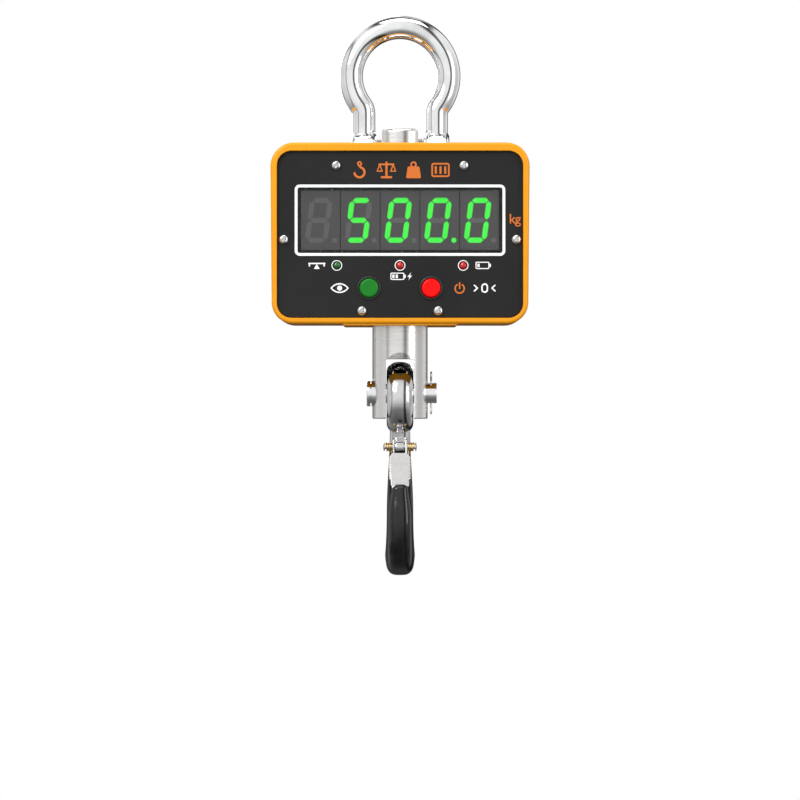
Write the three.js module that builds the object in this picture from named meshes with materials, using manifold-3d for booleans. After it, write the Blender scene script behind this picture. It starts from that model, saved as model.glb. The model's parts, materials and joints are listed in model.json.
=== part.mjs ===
// Crane scale: a shackle, a strain-gauge load cell bar inside a two-part housing, and an eye hook
// with a safety latch. Millimetres, +Z up, X to the right, and the display faces -Y.
// The origin is where the crane's hook bears: the inside of the shackle bow's crown.

import * as THREE from "three";
import { mergeVertices } from "three/addons/utils/BufferGeometryUtils.js";
import Module from "manifold-3d";

const wasm = await Module();
wasm.setup();

// ---- Driving dimensions -------------------------------------------------------------------

const GAP = 0.3; // between pieces that touch or are clamped
const RUNNING = 0.6; // on the diameter, between a pin and the hole that turns on it
const SCREW_PLAY = 0.6; // on the diameter, between a screw and its hole

// Levels along the hanging line, below the origin
const SHACKLE_PIN_Z = -85.1;
const CLEVIS_PIN_Z = -243.6;
const BOWL_CENTRE_Z = -328.7;

// Shackle
const WIRE_D = 16;
const BOW_INNER_R = 25.6;
const LEG_X = 25; // centreline of each leg
const NECK_R = 9.7; // centreline of the bend between bow and leg
const EYE_D = 42;
const EYE_THICK = 17.8;
const EYE_EDGE = 2.2;
const SHACKLE_PIN_D = 16;
const PIN_HEAD_D = 23;
const PIN_HEAD_THICK = 10.6;
const NUT_ACROSS = 24;
const NUT_THICK = 9.4;
const PIN_STUB = 5; // of the pin past its nut
const COTTER_D = 3;
const COTTER_LEG = 15; // from the pin's axis to the end of a cotter's legs
const SPACER_D = 33;

// Load cell bar
const CELL_D = 38;
const TANG_THICK = 24.7;
const TANG_TOP = 22.6; // above the shackle pin's axis
const TANG_FOOT = 22.9; // below it
const TANG_CORNER = 2.5;
const CELL_FOOT = 17.7; // below the clevis pin's axis
const SLOT_ROOF = 23.4; // above the clevis pin's axis
const RELIEF_DEPTH = 6;
const RELIEF_TOP = 27.7; // above the clevis pin's axis
const GAUGE_Z = -150;
const GAUGE_POCKET_D = 24;
const GAUGE_POCKET_FLOOR = 7; // from the bar's axis
const GAUGE_COVER_THICK = 2;

// Clevis pin
const CLEVIS_PIN_D = 14;
const CLEVIS_HEAD_D = 18.3;
const CLEVIS_HEAD_SEAT = 15.9; // from the bar's axis
const CLEVIS_GROOVE = 19.6;
const CLEVIS_GROOVE_WIDTH = 0.8;
const CLEVIS_HEAD_END = 22.9;
const CLEVIS_TAIL = 25.3;
const CLEVIS_COTTER_X = 21.4;

// Hook
const HOOK_EYE_R = 24.6;
const HOOK_EYE_HOLE_R = 10.4;
const HOOK_EYE_THICK = 18.5;
const HOOK_SIDE_PLAY = 0.5; // between the eye and each side of the bar's slot
const BOWL_R = 19.5;
const BACK_DEPTH = 22;
const BOTTOM_DEPTH = 20.8;
const FRONT_DEPTH = 17.5;
const SHANK_DEPTH = 16;
const TIP_DEPTH = 10;
const BOTTOM_WIDTH = 22.2;
const BACK_WIDTH = 20;
const FRONT_WIDTH = 19;
const SHANK_WIDTH = 15;
const TIP_WIDTH = 13;
const TIP_RISE = 22.9; // above the bowl's centre

// Safety latch
const LATCH_PIVOT_Y = -11;
const LATCH_PIVOT_Z = -280.5;
const LUG_HALF = 3.4;
const LATCH_WIDTH = 14.5;
const LATCH_STOCK = 1.2;
const LATCH_LENGTH = 30;
const LATCH_BEND = 3.4; // depth of its bent edges
const LATCH_LEAN = 17; // degrees, from straight down to its rest behind the hook's tip
const RIVET_D = 3.2;
const SPRING_COIL_R = 2.7;
const SPRING_WIRE_D = 0.9;
const SPRING_TURNS = 3.5;

// Housing
const HOUSING_TOP_Z = -73.5;
const HOUSING_HEIGHT = 123.1;
const HOUSING_TOP_WIDTH = 176.6;
const HOUSING_FOOT_WIDTH = 174;
const HOUSING_DEPTH = 88;
const CORNER_TOP_R = 16;
const CORNER_FOOT_R = 14.5;
const EDGE_R = 2;
const WALL = 3;
const FOOT_BOSS_WIDTH = 79;
const FOOT_BOSS_THICK = 1.2;
const POCKET_HALF_X = 50;
const POCKET_HALF_Y = 26;
const POCKET_DEPTH = 36.5;
const GASKET_THICK = 1.4;

// Front panel and what shows in it
const PANEL_WIDTH = 166.6;
const PANEL_HEIGHT = 112.9;
const PANEL_TOP_Z = -79.5;
const PANEL_CORNER_R = 9.6;
const PANEL_RECESS = 3;
const PANEL_THICK = 2;
const LEDGE_THICK = 2.5;
const LEDGE_SIDE = 9.8; // how far the ledge reaches in under the panel
const LEDGE_TOP = 15.5;
const LEDGE_FOOT = 9.4;
const WINDOW_WIDTH = 139;
const WINDOW_HEIGHT = 44.2;
const WINDOW_Z = -126.3;
const DIGIT_COUNT = 5;
const DIGIT_PITCH = 27;
const DIGIT_HEIGHT = 40.7;
const DIGIT_DEPTH = 6.8;
const LAMP_D = 5;
const LAMP_X = 42.9;
const LAMP_Z = -157;
const BUTTON_D = 13;
const BUTTON_X = 21.1;
const BUTTON_Z = -172.4;
const BUTTON_PROUD = 2.4;
const BUTTON_TRAVEL = 1.5;
const SWITCH_HEIGHT = 4;
const SWITCH_WIDTH = 6.2;
const BEZEL_D = 16;
const BEZEL_PROUD = 1.2;
const PANEL_SCREW_D = 3;
const PANEL_SCREW_HEAD_D = 6.6;
const PANEL_SCREW_LENGTH = 6;
const PANEL_SCREWS = [
  [-43.4, -89],
  [43.4, -89],
  [-79.1, -139.4],
  [79.1, -139.4],
  [-25.9, -187.8],
  [25.9, -187.8],
];

// Boards
const BOARD_THICK = 1.6;
const BOARD_WIDTH = 160;
const BOARD_SPACING = 5.2; // clear space between the display board and the main board
const DISPLAY_BOARD_TOP_Z = -100;
const MAIN_BOARD_TOP_Z = -116;
const BOARD_FOOT_Z = -180;
const POST_X = 77;
const POST_D = 7;
const POST_PIN_D = 4;
const POST_LEVELS = [-120, -172];
const CABLE_D = 2.4;
const CABLE_END_Z = -166;
const CONNECTOR_X = [30, 40];
const CONNECTOR_DEPTH = 5;

// Battery bay and its door, in the back of the housing
const BAY_CENTRE_Z = -151;
const BAY_LEFT = -50;
const BAY_RIGHT = 46;
const BAY_HEIGHT = 56;
const BAY_DEPTH = 19;
const BAY_WALL = 2;
const DOOR_HINGE_X = -56;
const DOOR_RIGHT = 59;
const DOOR_HEIGHT = 64;
const DOOR_THICK = 3;
const DOOR_GAP = 0.5;
const DOOR_PIN_D = 2;
const DOOR_PIN_BITE = 3; // into the frame above and below the door
const KNUCKLE_R = 2.4;
const THUMBSCREW_X = 52.5;
const THUMBSCREW_D = 4;
const THUMBSCREW_HEAD_D = 9;
const THUMBSCREW_CUP = 1.8; // depth of the recess that the head lies in
const THUMBSCREW_PLAY = 0.8; // all round, so that it clears its hole as the door swings

// Fasteners and fittings of the housing
const SHELL_BOLT_D = 4;
const SHELL_BOLT_HEAD_D = 7;
const SHELL_BOLT_X = 78;
const SHELL_BOLT_LEVELS = [-84, -186.5];
const BOLT_BOSS_D = 11;
const BOLT_HEAD_THICK = 2.6;
const BOLT_RECESS = 5; // depth of a shell bolt's recess in the back
const BOLT_GRIP = 14; // how far a shell bolt reaches into the front shell
const COLLAR_LIP = 12; // the collar's width outside the bar
const COLLAR_THICK = 4;
const SEAL_WALL = 1.8;
const SOCKET_X = -68;
const SOCKET_Z = -100;
const SOCKET_D = 9;
const SOCKET_FLANGE_D = 14;
const SOCKET_FLANGE_THICK = 1.4;
const SOCKET_BORE_D = 6.5;
const SOCKET_DEPTH = 9; // reach of the barrel inside the back wall

// ---- Places worked out from them ----------------------------------------------------------

const CELL_R = CELL_D / 2;
const SLOT_WIDTH = HOOK_EYE_THICK + 2 * HOOK_SIDE_PLAY;
const COLLAR_R = CELL_R + COLLAR_LIP;
const COLLAR_BOLT_Y = CELL_R + COLLAR_LIP / 2;
const EYE_INNER_X = LEG_X - EYE_THICK / 2;
const EYE_OUTER_X = LEG_X + EYE_THICK / 2;
const HOUSING_FOOT_Z = HOUSING_TOP_Z - HOUSING_HEIGHT;
const FOOT_FACE_Z = HOUSING_FOOT_Z - FOOT_BOSS_THICK;
const FLOOR_Z = HOUSING_FOOT_Z + WALL;
const FRONT_Y = -HOUSING_DEPTH / 2;
const BACK_Y = HOUSING_DEPTH / 2;
const PARTING = GASKET_THICK / 2 + GAP;
const PANEL_Y = FRONT_Y + PANEL_RECESS;
const PANEL_BACK_Y = PANEL_Y + PANEL_THICK;
const PANEL_FOOT_Z = PANEL_TOP_Z - PANEL_HEIGHT;
const LEDGE_Y = PANEL_BACK_Y + GAP;
const LEDGE_BACK_Y = LEDGE_Y + LEDGE_THICK;
const POCKET_FLOOR_Z = HOUSING_TOP_Z - POCKET_DEPTH;
const MODULE_Y = PANEL_BACK_Y + GAP;
const BOARD_Y = MODULE_Y + DIGIT_DEPTH + GAP;
const MAIN_BOARD_Y = BOARD_Y + BOARD_THICK + BOARD_SPACING;
const TIP_Z = BOWL_CENTRE_Z + TIP_RISE;
const HOOK_EYE_Z = CLEVIS_PIN_Z - (HOOK_EYE_HOLE_R - CLEVIS_PIN_D / 2 - GAP); // it rests on the pin
const BAY_FLOOR_Y = BACK_Y - DOOR_THICK - BAY_DEPTH;
const DOOR_INNER_Y = BACK_Y - DOOR_THICK;
const KNUCKLE_Y = BACK_Y - KNUCKLE_R;

// ---- Shape helpers ------------------------------------------------------------------------

/** A closed three.js geometry as a solid that can be joined to others and cut. */
function solidOf(geometry) {
  const bare = geometry.index ? geometry.toNonIndexed() : geometry.clone();
  bare.deleteAttribute("normal");
  bare.deleteAttribute("uv");
  const merged = mergeVertices(bare, 1e-3);
  const corners = [];
  for (let i = 0; i < merged.index.count; i += 3) {
    const [a, b, c] = merged.index.array.slice(i, i + 3);
    if (a !== b && b !== c && c !== a) corners.push(a, b, c);
  }
  return new wasm.Manifold(
    new wasm.Mesh({
      numProp: 3,
      vertProperties: merged.attributes.position.array,
      triVerts: new Uint32Array(corners),
    }),
  );
}

/** A solid's surface as a three.js geometry with flat faces. */
function geometryOf(solid) {
  const { vertProperties, triVerts } = solid.getMesh();
  const geometry = new THREE.BufferGeometry();
  geometry.setAttribute("position", new THREE.BufferAttribute(vertProperties, 3));
  geometry.setIndex(new THREE.BufferAttribute(triVerts, 1));
  const faceted = geometry.toNonIndexed();
  faceted.computeVertexNormals();
  return faceted;
}

/** All the solids joined into one. */
function join(...solids) {
  return solids.reduce((whole, piece) => whole.add(piece));
}

/** A solid with all the others cut out of it. */
function cut(solid, ...holes) {
  return holes.reduce((rest, hole) => rest.subtract(hole), solid);
}

/** A box between two values on each axis. */
function box([x0, x1], [y0, y1], [z0, z1]) {
  const geometry = new THREE.BoxGeometry(x1 - x0, y1 - y0, z1 - z0);
  return solidOf(geometry.translate((x0 + x1) / 2, (y0 + y1) / 2, (z0 + z1) / 2));
}

/** Turns a geometry made around +Y so that it lies along the axis named, then moves it. */
function aim(geometry, axis, [x, y, z]) {
  if (axis === "x") geometry.rotateZ(-Math.PI / 2);
  if (axis === "z") geometry.rotateX(Math.PI / 2);
  return geometry.translate(x, y, z);
}

/** How many sides a round piece of a diameter gets. */
function facets(diameter) {
  return 2 * Math.round(THREE.MathUtils.clamp(4 + 0.3 * diameter, 5, 14));
}

/** The largest radius of a turned profile. */
function widest(profile) {
  return Math.max(...profile.map(([radius]) => radius));
}

/** A turned piece: [radius, distance along the axis] points, from axis to axis or a closed loop. */
function turned(profile, axis, at = [0, 0, 0], sides = facets(2 * widest(profile))) {
  const points = profile.map(([radius, along]) => new THREE.Vector2(radius, along));
  return solidOf(aim(new THREE.LatheGeometry(points, sides), axis, at));
}

/** A round bar from one value to another along an axis. */
function rod(diameter, axis, [from, to], at = [0, 0, 0]) {
  const r = diameter / 2;
  return turned([[0, from], [r, from], [r, to], [0, to]], axis, at);
}

/** A round bar with both of its edges chamfered. */
function chamferedRod(diameter, axis, [from, to], edge, at = [0, 0, 0]) {
  const r = diameter / 2;
  const profile = [[0, from], [r - edge, from], [r, from + edge], [r, to - edge], [r - edge, to], [0, to]];
  return turned(profile, axis, at);
}

/** A ring between two diameters. */
function ring(outer, inner, axis, [from, to], at = [0, 0, 0]) {
  const profile = [[inner / 2, from], [outer / 2, from], [outer / 2, to], [inner / 2, to], [inner / 2, from]];
  return turned(profile, axis, at);
}

/** An outline drawn in X and Z, given thickness from one Y to another. */
function slab(shape, [y0, y1], curveSegments = 6) {
  const geometry = new THREE.ExtrudeGeometry(shape, { depth: y1 - y0, bevelEnabled: false, curveSegments });
  return solidOf(geometry.rotateX(Math.PI / 2).translate(0, y1, 0));
}

/** An outline drawn in Y and Z, given thickness from one X to another. */
function sidePlate(shape, [x0, x1], curveSegments = 6) {
  const geometry = new THREE.ExtrudeGeometry(shape, { depth: x1 - x0, bevelEnabled: false, curveSegments });
  return solidOf(geometry.rotateX(Math.PI / 2).rotateZ(Math.PI / 2).translate(x0, 0, 0));
}

/** A closed outline with an arc of its own radius at each corner, given counterclockwise. */
function roundedOutline(corners) {
  const shape = new THREE.Shape();
  corners.forEach(([x, y, radius], i) => {
    const here = new THREE.Vector2(x, y);
    const [px, py] = corners.at(i - 1);
    const [nx, ny] = corners[(i + 1) % corners.length];
    const back = new THREE.Vector2(px, py).sub(here).normalize();
    const ahead = new THREE.Vector2(nx, ny).sub(here).normalize();
    const half = Math.acos(back.dot(ahead)) / 2;
    const middle = back.clone().add(ahead).normalize().multiplyScalar(radius / Math.sin(half)).add(here);
    const start = back.clone().multiplyScalar(radius / Math.tan(half)).add(here).sub(middle);
    const end = ahead.clone().multiplyScalar(radius / Math.tan(half)).add(here).sub(middle);
    shape.absarc(middle.x, middle.y, radius, start.angle(), end.angle(), false);
  });
  return shape;
}

/** A rounded rectangle about a centre. */
function roundedRectangle(width, height, radius, [x, y] = [0, 0]) {
  const [a, b] = [width / 2, height / 2];
  const corners = [[x - a, y - b], [x + a, y - b], [x + a, y + b], [x - a, y + b]];
  return roundedOutline(corners.map(([u, v]) => [u, v, radius]));
}

/** A solid through a row of rings with equal numbers of points, each clockwise seen from the first. */
function loft(rings) {
  const sides = rings[0].length;
  const middleOf = (points) =>
    points.reduce((sum, p) => sum.add(p), new THREE.Vector3()).divideScalar(sides);
  const points = [...rings.flat(), middleOf(rings[0]), middleOf(rings.at(-1))];
  const [firstMiddle, lastMiddle] = [points.length - 2, points.length - 1];
  const lastRing = sides * (rings.length - 1);
  const index = [];
  for (let j = 0; j < sides; j++) {
    const k = (j + 1) % sides;
    index.push(firstMiddle, k, j);
    index.push(lastMiddle, lastRing + j, lastRing + k);
    for (let i = 0; i < lastRing; i += sides) {
      index.push(i + j, i + k, i + sides + k);
      index.push(i + j, i + sides + k, i + sides + j);
    }
  }
  const geometry = new THREE.BufferGeometry().setFromPoints(points);
  return solidOf(geometry.setIndex(index));
}

/** Stations along an arc in a plane: place, and the direction across the bar (side 1 is outwards). */
function arcStations([u, v], radius, fromDegrees, toDegrees, steps, side = 1) {
  return Array.from({ length: steps + 1 }, (_, i) => {
    const angle = THREE.MathUtils.degToRad(fromDegrees + ((toDegrees - fromDegrees) * i) / steps);
    const across = new THREE.Vector2(Math.cos(angle), Math.sin(angle));
    const at = across.clone().multiplyScalar(radius).add({ x: u, y: v });
    return { at, across: across.multiplyScalar(side) };
  });
}

/** A round wire along a smooth path. */
function wire(curve, diameter, steps, sides = 8) {
  const section = new THREE.Shape().absarc(0, 0, diameter / 2, 0, 2 * Math.PI);
  const options = { steps, extrudePath: curve, curveSegments: sides / 2, bevelEnabled: false };
  return solidOf(new THREE.ExtrudeGeometry(section, options));
}

// ---- Materials ----------------------------------------------------------------------------

function finish(color, roughness, metalness) {
  return new THREE.MeshStandardMaterial({ color, roughness, metalness });
}

const FINISH = {
  chrome: finish(0xd8d9dc, 0.08, 1),
  satinSteel: finish(0xb9babd, 0.32, 1),
  brightSteel: finish(0xc9cacd, 0.2, 1),
  blackSteel: finish(0x141416, 0.22, 0.6),
  brass: finish(0xc79a3a, 0.25, 1),
  orangePaint: finish(0xf2a20c, 0.22, 0),
  charcoal: finish(0x2c2d30, 0.6, 0),
  rubber: finish(0x17181a, 0.8, 0),
  smokedLens: finish(0x24272a, 0.08, 0),
  moduleGrey: finish(0x4d4f52, 0.45, 0),
  circuitGreen: finish(0x1d5a36, 0.5, 0),
  greenPlastic: finish(0x14702a, 0.3, 0),
  redPlastic: finish(0xd81414, 0.3, 0),
  blackPlastic: finish(0x1b1c1e, 0.45, 0),
  batteryGrey: finish(0x3b4147, 0.5, 0),
};

/** A named piece of the scale. */
function piece(name, solid, material, position = [0, 0, 0]) {
  const mesh = new THREE.Mesh(geometryOf(solid), FINISH[material]);
  mesh.name = name;
  mesh.position.set(...position);
  return mesh;
}

// ---- Shackle ------------------------------------------------------------------------------

/** Stations along the bow's centreline in X and Z, from the left leg's foot to the right leg's. */
function bowStations() {
  const bowR = BOW_INNER_R + WIRE_D / 2;
  const reach = LEG_X + NECK_R;
  const drop = Math.sqrt((bowR + NECK_R) ** 2 - reach ** 2);
  const swing = THREE.MathUtils.radToDeg(Math.atan2(drop, reach));
  const neckZ = -BOW_INNER_R - drop;
  const foot = SHACKLE_PIN_Z + EYE_D / 4;
  const left = new THREE.Vector2(-1, 0);
  const right = new THREE.Vector2(1, 0);
  return [
    { at: new THREE.Vector2(-LEG_X, foot), across: left },
    ...arcStations([-reach, neckZ], NECK_R, 0, swing, 4, -1),
    ...arcStations([0, -BOW_INNER_R], bowR, 180 + swing, -swing, 22).slice(1),
    ...arcStations([reach, neckZ], NECK_R, 180 - swing, 180, 4, -1).slice(1),
    { at: new THREE.Vector2(LEG_X, foot), across: right },
  ];
}

/** The round bar of the bow. */
function bowBar() {
  const sides = 14;
  const rings = bowStations().map(({ at, across }) =>
    Array.from({ length: sides }, (_, i) => {
      const turn = (-2 * Math.PI * i) / sides;
      const out = (Math.cos(turn) * WIRE_D) / 2;
      return new THREE.Vector3(at.x + across.x * out, (Math.sin(turn) * WIRE_D) / 2, at.y + across.y * out);
    }),
  );
  return loft(rings);
}

function shackle() {
  const group = new THREE.Group();
  const pinHoleD = SHACKLE_PIN_D + RUNNING;
  const axis = [0, 0, SHACKLE_PIN_Z];
  const eyes = [-LEG_X, LEG_X].map((x) =>
    chamferedRod(EYE_D, "x", [x - EYE_THICK / 2, x + EYE_THICK / 2], EYE_EDGE, axis),
  );
  const hole = rod(pinHoleD, "x", [-EYE_OUTER_X - 1, EYE_OUTER_X + 1], axis);
  group.add(piece("shackle_bow", cut(join(bowBar(), ...eyes), hole), "chrome"));

  const headFrom = -EYE_OUTER_X - GAP;
  const nutFrom = EYE_OUTER_X + GAP;
  const pinEnd = nutFrom + NUT_THICK + PIN_STUB;
  const cotterX = nutFrom + NUT_THICK + PIN_STUB / 2;
  const cotterHole = rod(COTTER_D + SCREW_PLAY, "y", [-COTTER_LEG, COTTER_LEG], [cotterX, 0, SHACKLE_PIN_Z]);
  const pinHead = chamferedRod(PIN_HEAD_D, "x", [headFrom - PIN_HEAD_THICK, headFrom], 1, axis);
  const pinBar = chamferedRod(SHACKLE_PIN_D, "x", [headFrom - 1, pinEnd], 0.8, axis);
  group.add(piece("shackle_pin", cut(join(pinHead, pinBar), cotterHole), "brightSteel"));

  const nutR = NUT_ACROSS / Math.sqrt(3);
  const nutBody = turned(
    [[0, nutFrom], [nutR, nutFrom], [nutR, nutFrom + NUT_THICK], [0, nutFrom + NUT_THICK]], "x", axis, 6);
  const nutHole = rod(pinHoleD, "x", [nutFrom - 1, nutFrom + NUT_THICK + 1], axis);
  group.add(piece("shackle_nut", cut(nutBody, nutHole), "brightSteel"));
  const shackleCotter = piece("shackle_cotter", cotter(), "satinSteel", [cotterX, 0, SHACKLE_PIN_Z]);
  shackleCotter.rotation.x = Math.PI / 2;
  group.add(shackleCotter);

  const tangX = TANG_THICK / 2;
  const [near, far] = [tangX + GAP, EYE_INNER_X - GAP];
  group.add(piece("spacer_left", ring(SPACER_D, pinHoleD, "x", [-far, -near], axis), "satinSteel"));
  group.add(piece("spacer_right", ring(SPACER_D, pinHoleD, "x", [near, far], axis), "satinSteel"));
  return group;
}

/** A split pin along Z about its hole's middle: a looped head above, and two legs spread below. */
function cotter() {
  const head = 2.1 * COTTER_D;
  const top = COTTER_LEG - head / 2;
  const loop = ring(head, head - 2 * COTTER_D * 0.55, "x", [-COTTER_D / 2.2, COTTER_D / 2.2], [0, 0, top]);
  const shank = rod(COTTER_D, "z", [-COTTER_LEG + 4, top - head / 3]);
  const leg = (side) =>
    wire(
      new THREE.LineCurve3(
        new THREE.Vector3(0, side * 0.5, -COTTER_LEG + 4.5),
        new THREE.Vector3(0, side * 2.6, -COTTER_LEG),
      ),
      COTTER_D * 0.55,
      1,
    );
  return join(loop, shank, leg(-1), leg(1));
}

// ---- Load cell ----------------------------------------------------------------------------

/** The machined bar: round, with a flat tang at the top and a slot for the hook's eye at the foot. */
function loadCellBar() {
  const top = SHACKLE_PIN_Z + TANG_TOP;
  const shoulder = SHACKLE_PIN_Z - TANG_FOOT;
  const foot = CLEVIS_PIN_Z - CELL_FOOT;
  const tang = TANG_THICK / 2;
  const edge = 1.2;
  const past = CELL_R + 1;
  const bar = turned(
    [[0, foot], [CELL_R - edge, foot], [CELL_R, foot + edge], [CELL_R, top - TANG_CORNER],
      [CELL_R - TANG_CORNER, top], [0, top]], "z");
  const flats = [-1, 1].map((side) => {
    const [a, b] = [side * tang, side * past].sort((p, q) => p - q);
    return box([a, b], [-past, past], [shoulder, top + 1]);
  });
  const tangOutline = roundedOutline([
    [-tang, shoulder - 2, 0.1], [tang, shoulder - 2, 0.1],
    [tang, top, TANG_CORNER], [-tang, top, TANG_CORNER]]);
  const aboveShoulder = box([-past, past], [-past, past], [shoulder - 1, top + 1]);
  const tangCorners = cut(aboveShoulder, slab(tangOutline, [-past - 1, past + 1]),
    box([-past, past], [-past, past], [shoulder - 2, top - 2 * TANG_CORNER]));
  const half = SLOT_WIDTH / 2;
  const slot = box([-half, half], [-past, past], [foot - 1, CLEVIS_PIN_Z + SLOT_ROOF]);
  const reliefCentre = CLEVIS_PIN_Z + RELIEF_TOP - half;
  const reliefs = [[-past, -CELL_R + RELIEF_DEPTH], [CELL_R - RELIEF_DEPTH, past]].map((reach) =>
    join(
      rod(SLOT_WIDTH, "y", reach, [0, 0, reliefCentre]),
      box([-half, half], reach, [reliefCentre - half, reliefCentre]),
    ),
  );
  const pinHole = rod(SHACKLE_PIN_D + RUNNING, "x", [-past, past], [0, 0, SHACKLE_PIN_Z]);
  const clevisHole = rod(CLEVIS_PIN_D + RUNNING, "x", [-past, past], [0, 0, CLEVIS_PIN_Z]);
  const headSeat = rod(CLEVIS_HEAD_D + 2 * GAP, "x", [-past, -CLEVIS_HEAD_SEAT], [0, 0, CLEVIS_PIN_Z]);
  const gaugePockets = [[-past, -GAUGE_POCKET_FLOOR], [GAUGE_POCKET_FLOOR, past]].map((reach) =>
    rod(GAUGE_POCKET_D, "y", reach, [0, 0, GAUGE_Z]),
  );
  return cut(bar, ...flats, tangCorners, slot, ...reliefs, pinHole, clevisHole, headSeat, ...gaugePockets);
}

/** A round cover inside a gauge pocket; the front one lets the sensor's cable out. */
function gaugeCover(side, holeD = 0) {
  const outer = Math.sqrt(CELL_R ** 2 - (GAUGE_POCKET_D / 2) ** 2);
  const reach = [outer - GAUGE_COVER_THICK, outer].map((y) => side * y).sort((a, b) => a - b);
  const at = [0, 0, GAUGE_Z];
  const disc = rod(GAUGE_POCKET_D - 2 * GAP, "y", reach, at);
  return holeD ? cut(disc, rod(holeD, "y", [reach[0] - 1, reach[1] + 1], at)) : disc;
}

function loadCell() {
  const group = new THREE.Group();
  group.add(piece("load_cell", loadCellBar(), "satinSteel"));
  group.add(piece("gauge_cover_front", gaugeCover(-1, CABLE_D + SCREW_PLAY), "satinSteel"));
  group.add(piece("gauge_cover_rear", gaugeCover(1), "satinSteel"));

  const headR = CLEVIS_HEAD_D / 2;
  const pinR = CLEVIS_PIN_D / 2;
  const bevel = 0.7;
  const pinProfile = [
    [0, -CLEVIS_HEAD_END],
    [headR - bevel, -CLEVIS_HEAD_END],
    [headR, -CLEVIS_HEAD_END + bevel],
    [headR, -CLEVIS_GROOVE - CLEVIS_GROOVE_WIDTH],
    [pinR, -CLEVIS_GROOVE - CLEVIS_GROOVE_WIDTH],
    [pinR, -CLEVIS_GROOVE],
    [headR, -CLEVIS_GROOVE],
    [headR, -CLEVIS_HEAD_SEAT - GAP],
    [pinR, -CLEVIS_HEAD_SEAT - GAP],
    [pinR, CLEVIS_TAIL - bevel],
    [pinR - bevel, CLEVIS_TAIL],
    [0, CLEVIS_TAIL],
  ];
  const pinBody = turned(pinProfile, "x", [0, 0, CLEVIS_PIN_Z]);
  const cotterAt = [CLEVIS_COTTER_X, 0, CLEVIS_PIN_Z];
  const pinHole = rod(COTTER_D + SCREW_PLAY, "z", [-COTTER_LEG, COTTER_LEG], cotterAt);
  group.add(piece("clevis_pin", cut(pinBody, pinHole), "chrome"));
  group.add(piece("clevis_cotter", cotter(), "satinSteel", cotterAt));
  return group;
}

// ---- Hook ---------------------------------------------------------------------------------

/** The hook's section as shares of its width and depth: wide inside the bend, narrow outside. */
const HOOK_SECTION = [
  [-0.22, -0.5], [-0.42, -0.45], [-0.5, -0.34], [-0.47, 0.08], [-0.4, 0.36], [-0.26, 0.5],
  [0.26, 0.5], [0.4, 0.36], [0.47, 0.08], [0.5, -0.34], [0.42, -0.45], [0.22, -0.5],
];

/** Stations along a plane curve: its places, and the direction away from the bowl's middle. */
function curveStations(curve, steps) {
  return Array.from({ length: steps + 1 }, (_, i) => {
    const tangent = curve.getTangent(i / steps);
    return { at: curve.getPoint(i / steps), across: new THREE.Vector2(-tangent.y, tangent.x) };
  });
}

/** Widths and depths that change evenly along a stretch of the hook. */
function sized(stations, [startWidth, endWidth], [startDepth, endDepth]) {
  return stations.map((station, i) => {
    const t = i / (stations.length - 1);
    const ease = t * t * (3 - 2 * t);
    return {
      ...station,
      width: startWidth + (endWidth - startWidth) * ease,
      depth: startDepth + (endDepth - startDepth) * ease,
    };
  });
}

/** The hook's bar in Y and Z: down the shank behind the load line, round the bowl, up to the tip. */
function hookStations() {
  const backY = BOWL_R + BACK_DEPTH / 2;
  const frontY = -BOWL_R - FRONT_DEPTH / 2;
  const shankLine = new THREE.CubicBezierCurve(
    new THREE.Vector2(0, HOOK_EYE_Z - HOOK_EYE_HOLE_R - 5),
    new THREE.Vector2(0, HOOK_EYE_Z - 45),
    new THREE.Vector2(backY, BOWL_CENTRE_Z + 29),
    new THREE.Vector2(backY, BOWL_CENTRE_Z),
  );
  const tipLine = new THREE.CubicBezierCurve(
    new THREE.Vector2(frontY, BOWL_CENTRE_Z),
    new THREE.Vector2(frontY, BOWL_CENTRE_Z + TIP_RISE * 0.35),
    new THREE.Vector2(frontY - 1, BOWL_CENTRE_Z + TIP_RISE * 0.65),
    new THREE.Vector2(frontY - 1.5, TIP_Z - 1.5),
  );
  const shank = sized(curveStations(shankLine, 12), [SHANK_WIDTH, BACK_WIDTH], [SHANK_DEPTH, BACK_DEPTH]);
  const back = sized(bowlStations(0, -90, 9), [BACK_WIDTH, BOTTOM_WIDTH], [BACK_DEPTH, BOTTOM_DEPTH]);
  const front = sized(bowlStations(-90, -180, 9), [BOTTOM_WIDTH, FRONT_WIDTH], [BOTTOM_DEPTH, FRONT_DEPTH]);
  const tip = sized(curveStations(tipLine, 6), [FRONT_WIDTH, TIP_WIDTH], [FRONT_DEPTH, TIP_DEPTH]);
  const crown = tip.at(-1);
  const cap = {
    ...crown,
    at: crown.at.clone().setY(TIP_Z),
    width: crown.width * 0.7,
    depth: crown.depth * 0.6,
  };
  return [...shank, ...back.slice(1), ...front.slice(1), ...tip.slice(1), cap];
}

/** Stations round the bowl, whose inside is an arc; the bar's depth grows outwards from it. */
function bowlStations(fromDegrees, toDegrees, steps) {
  const depthAt = (degrees) =>
    degrees > -90
      ? THREE.MathUtils.mapLinear(degrees, 0, -90, BACK_DEPTH, BOTTOM_DEPTH)
      : THREE.MathUtils.mapLinear(degrees, -90, -180, BOTTOM_DEPTH, FRONT_DEPTH);
  return arcStations([0, 0], 1, fromDegrees, toDegrees, steps).map(({ across }, i) => {
    const middle = BOWL_R + depthAt(fromDegrees + ((toDegrees - fromDegrees) * i) / steps) / 2;
    return { at: across.clone().multiplyScalar(middle).add({ x: 0, y: BOWL_CENTRE_Z }), across };
  });
}

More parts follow.
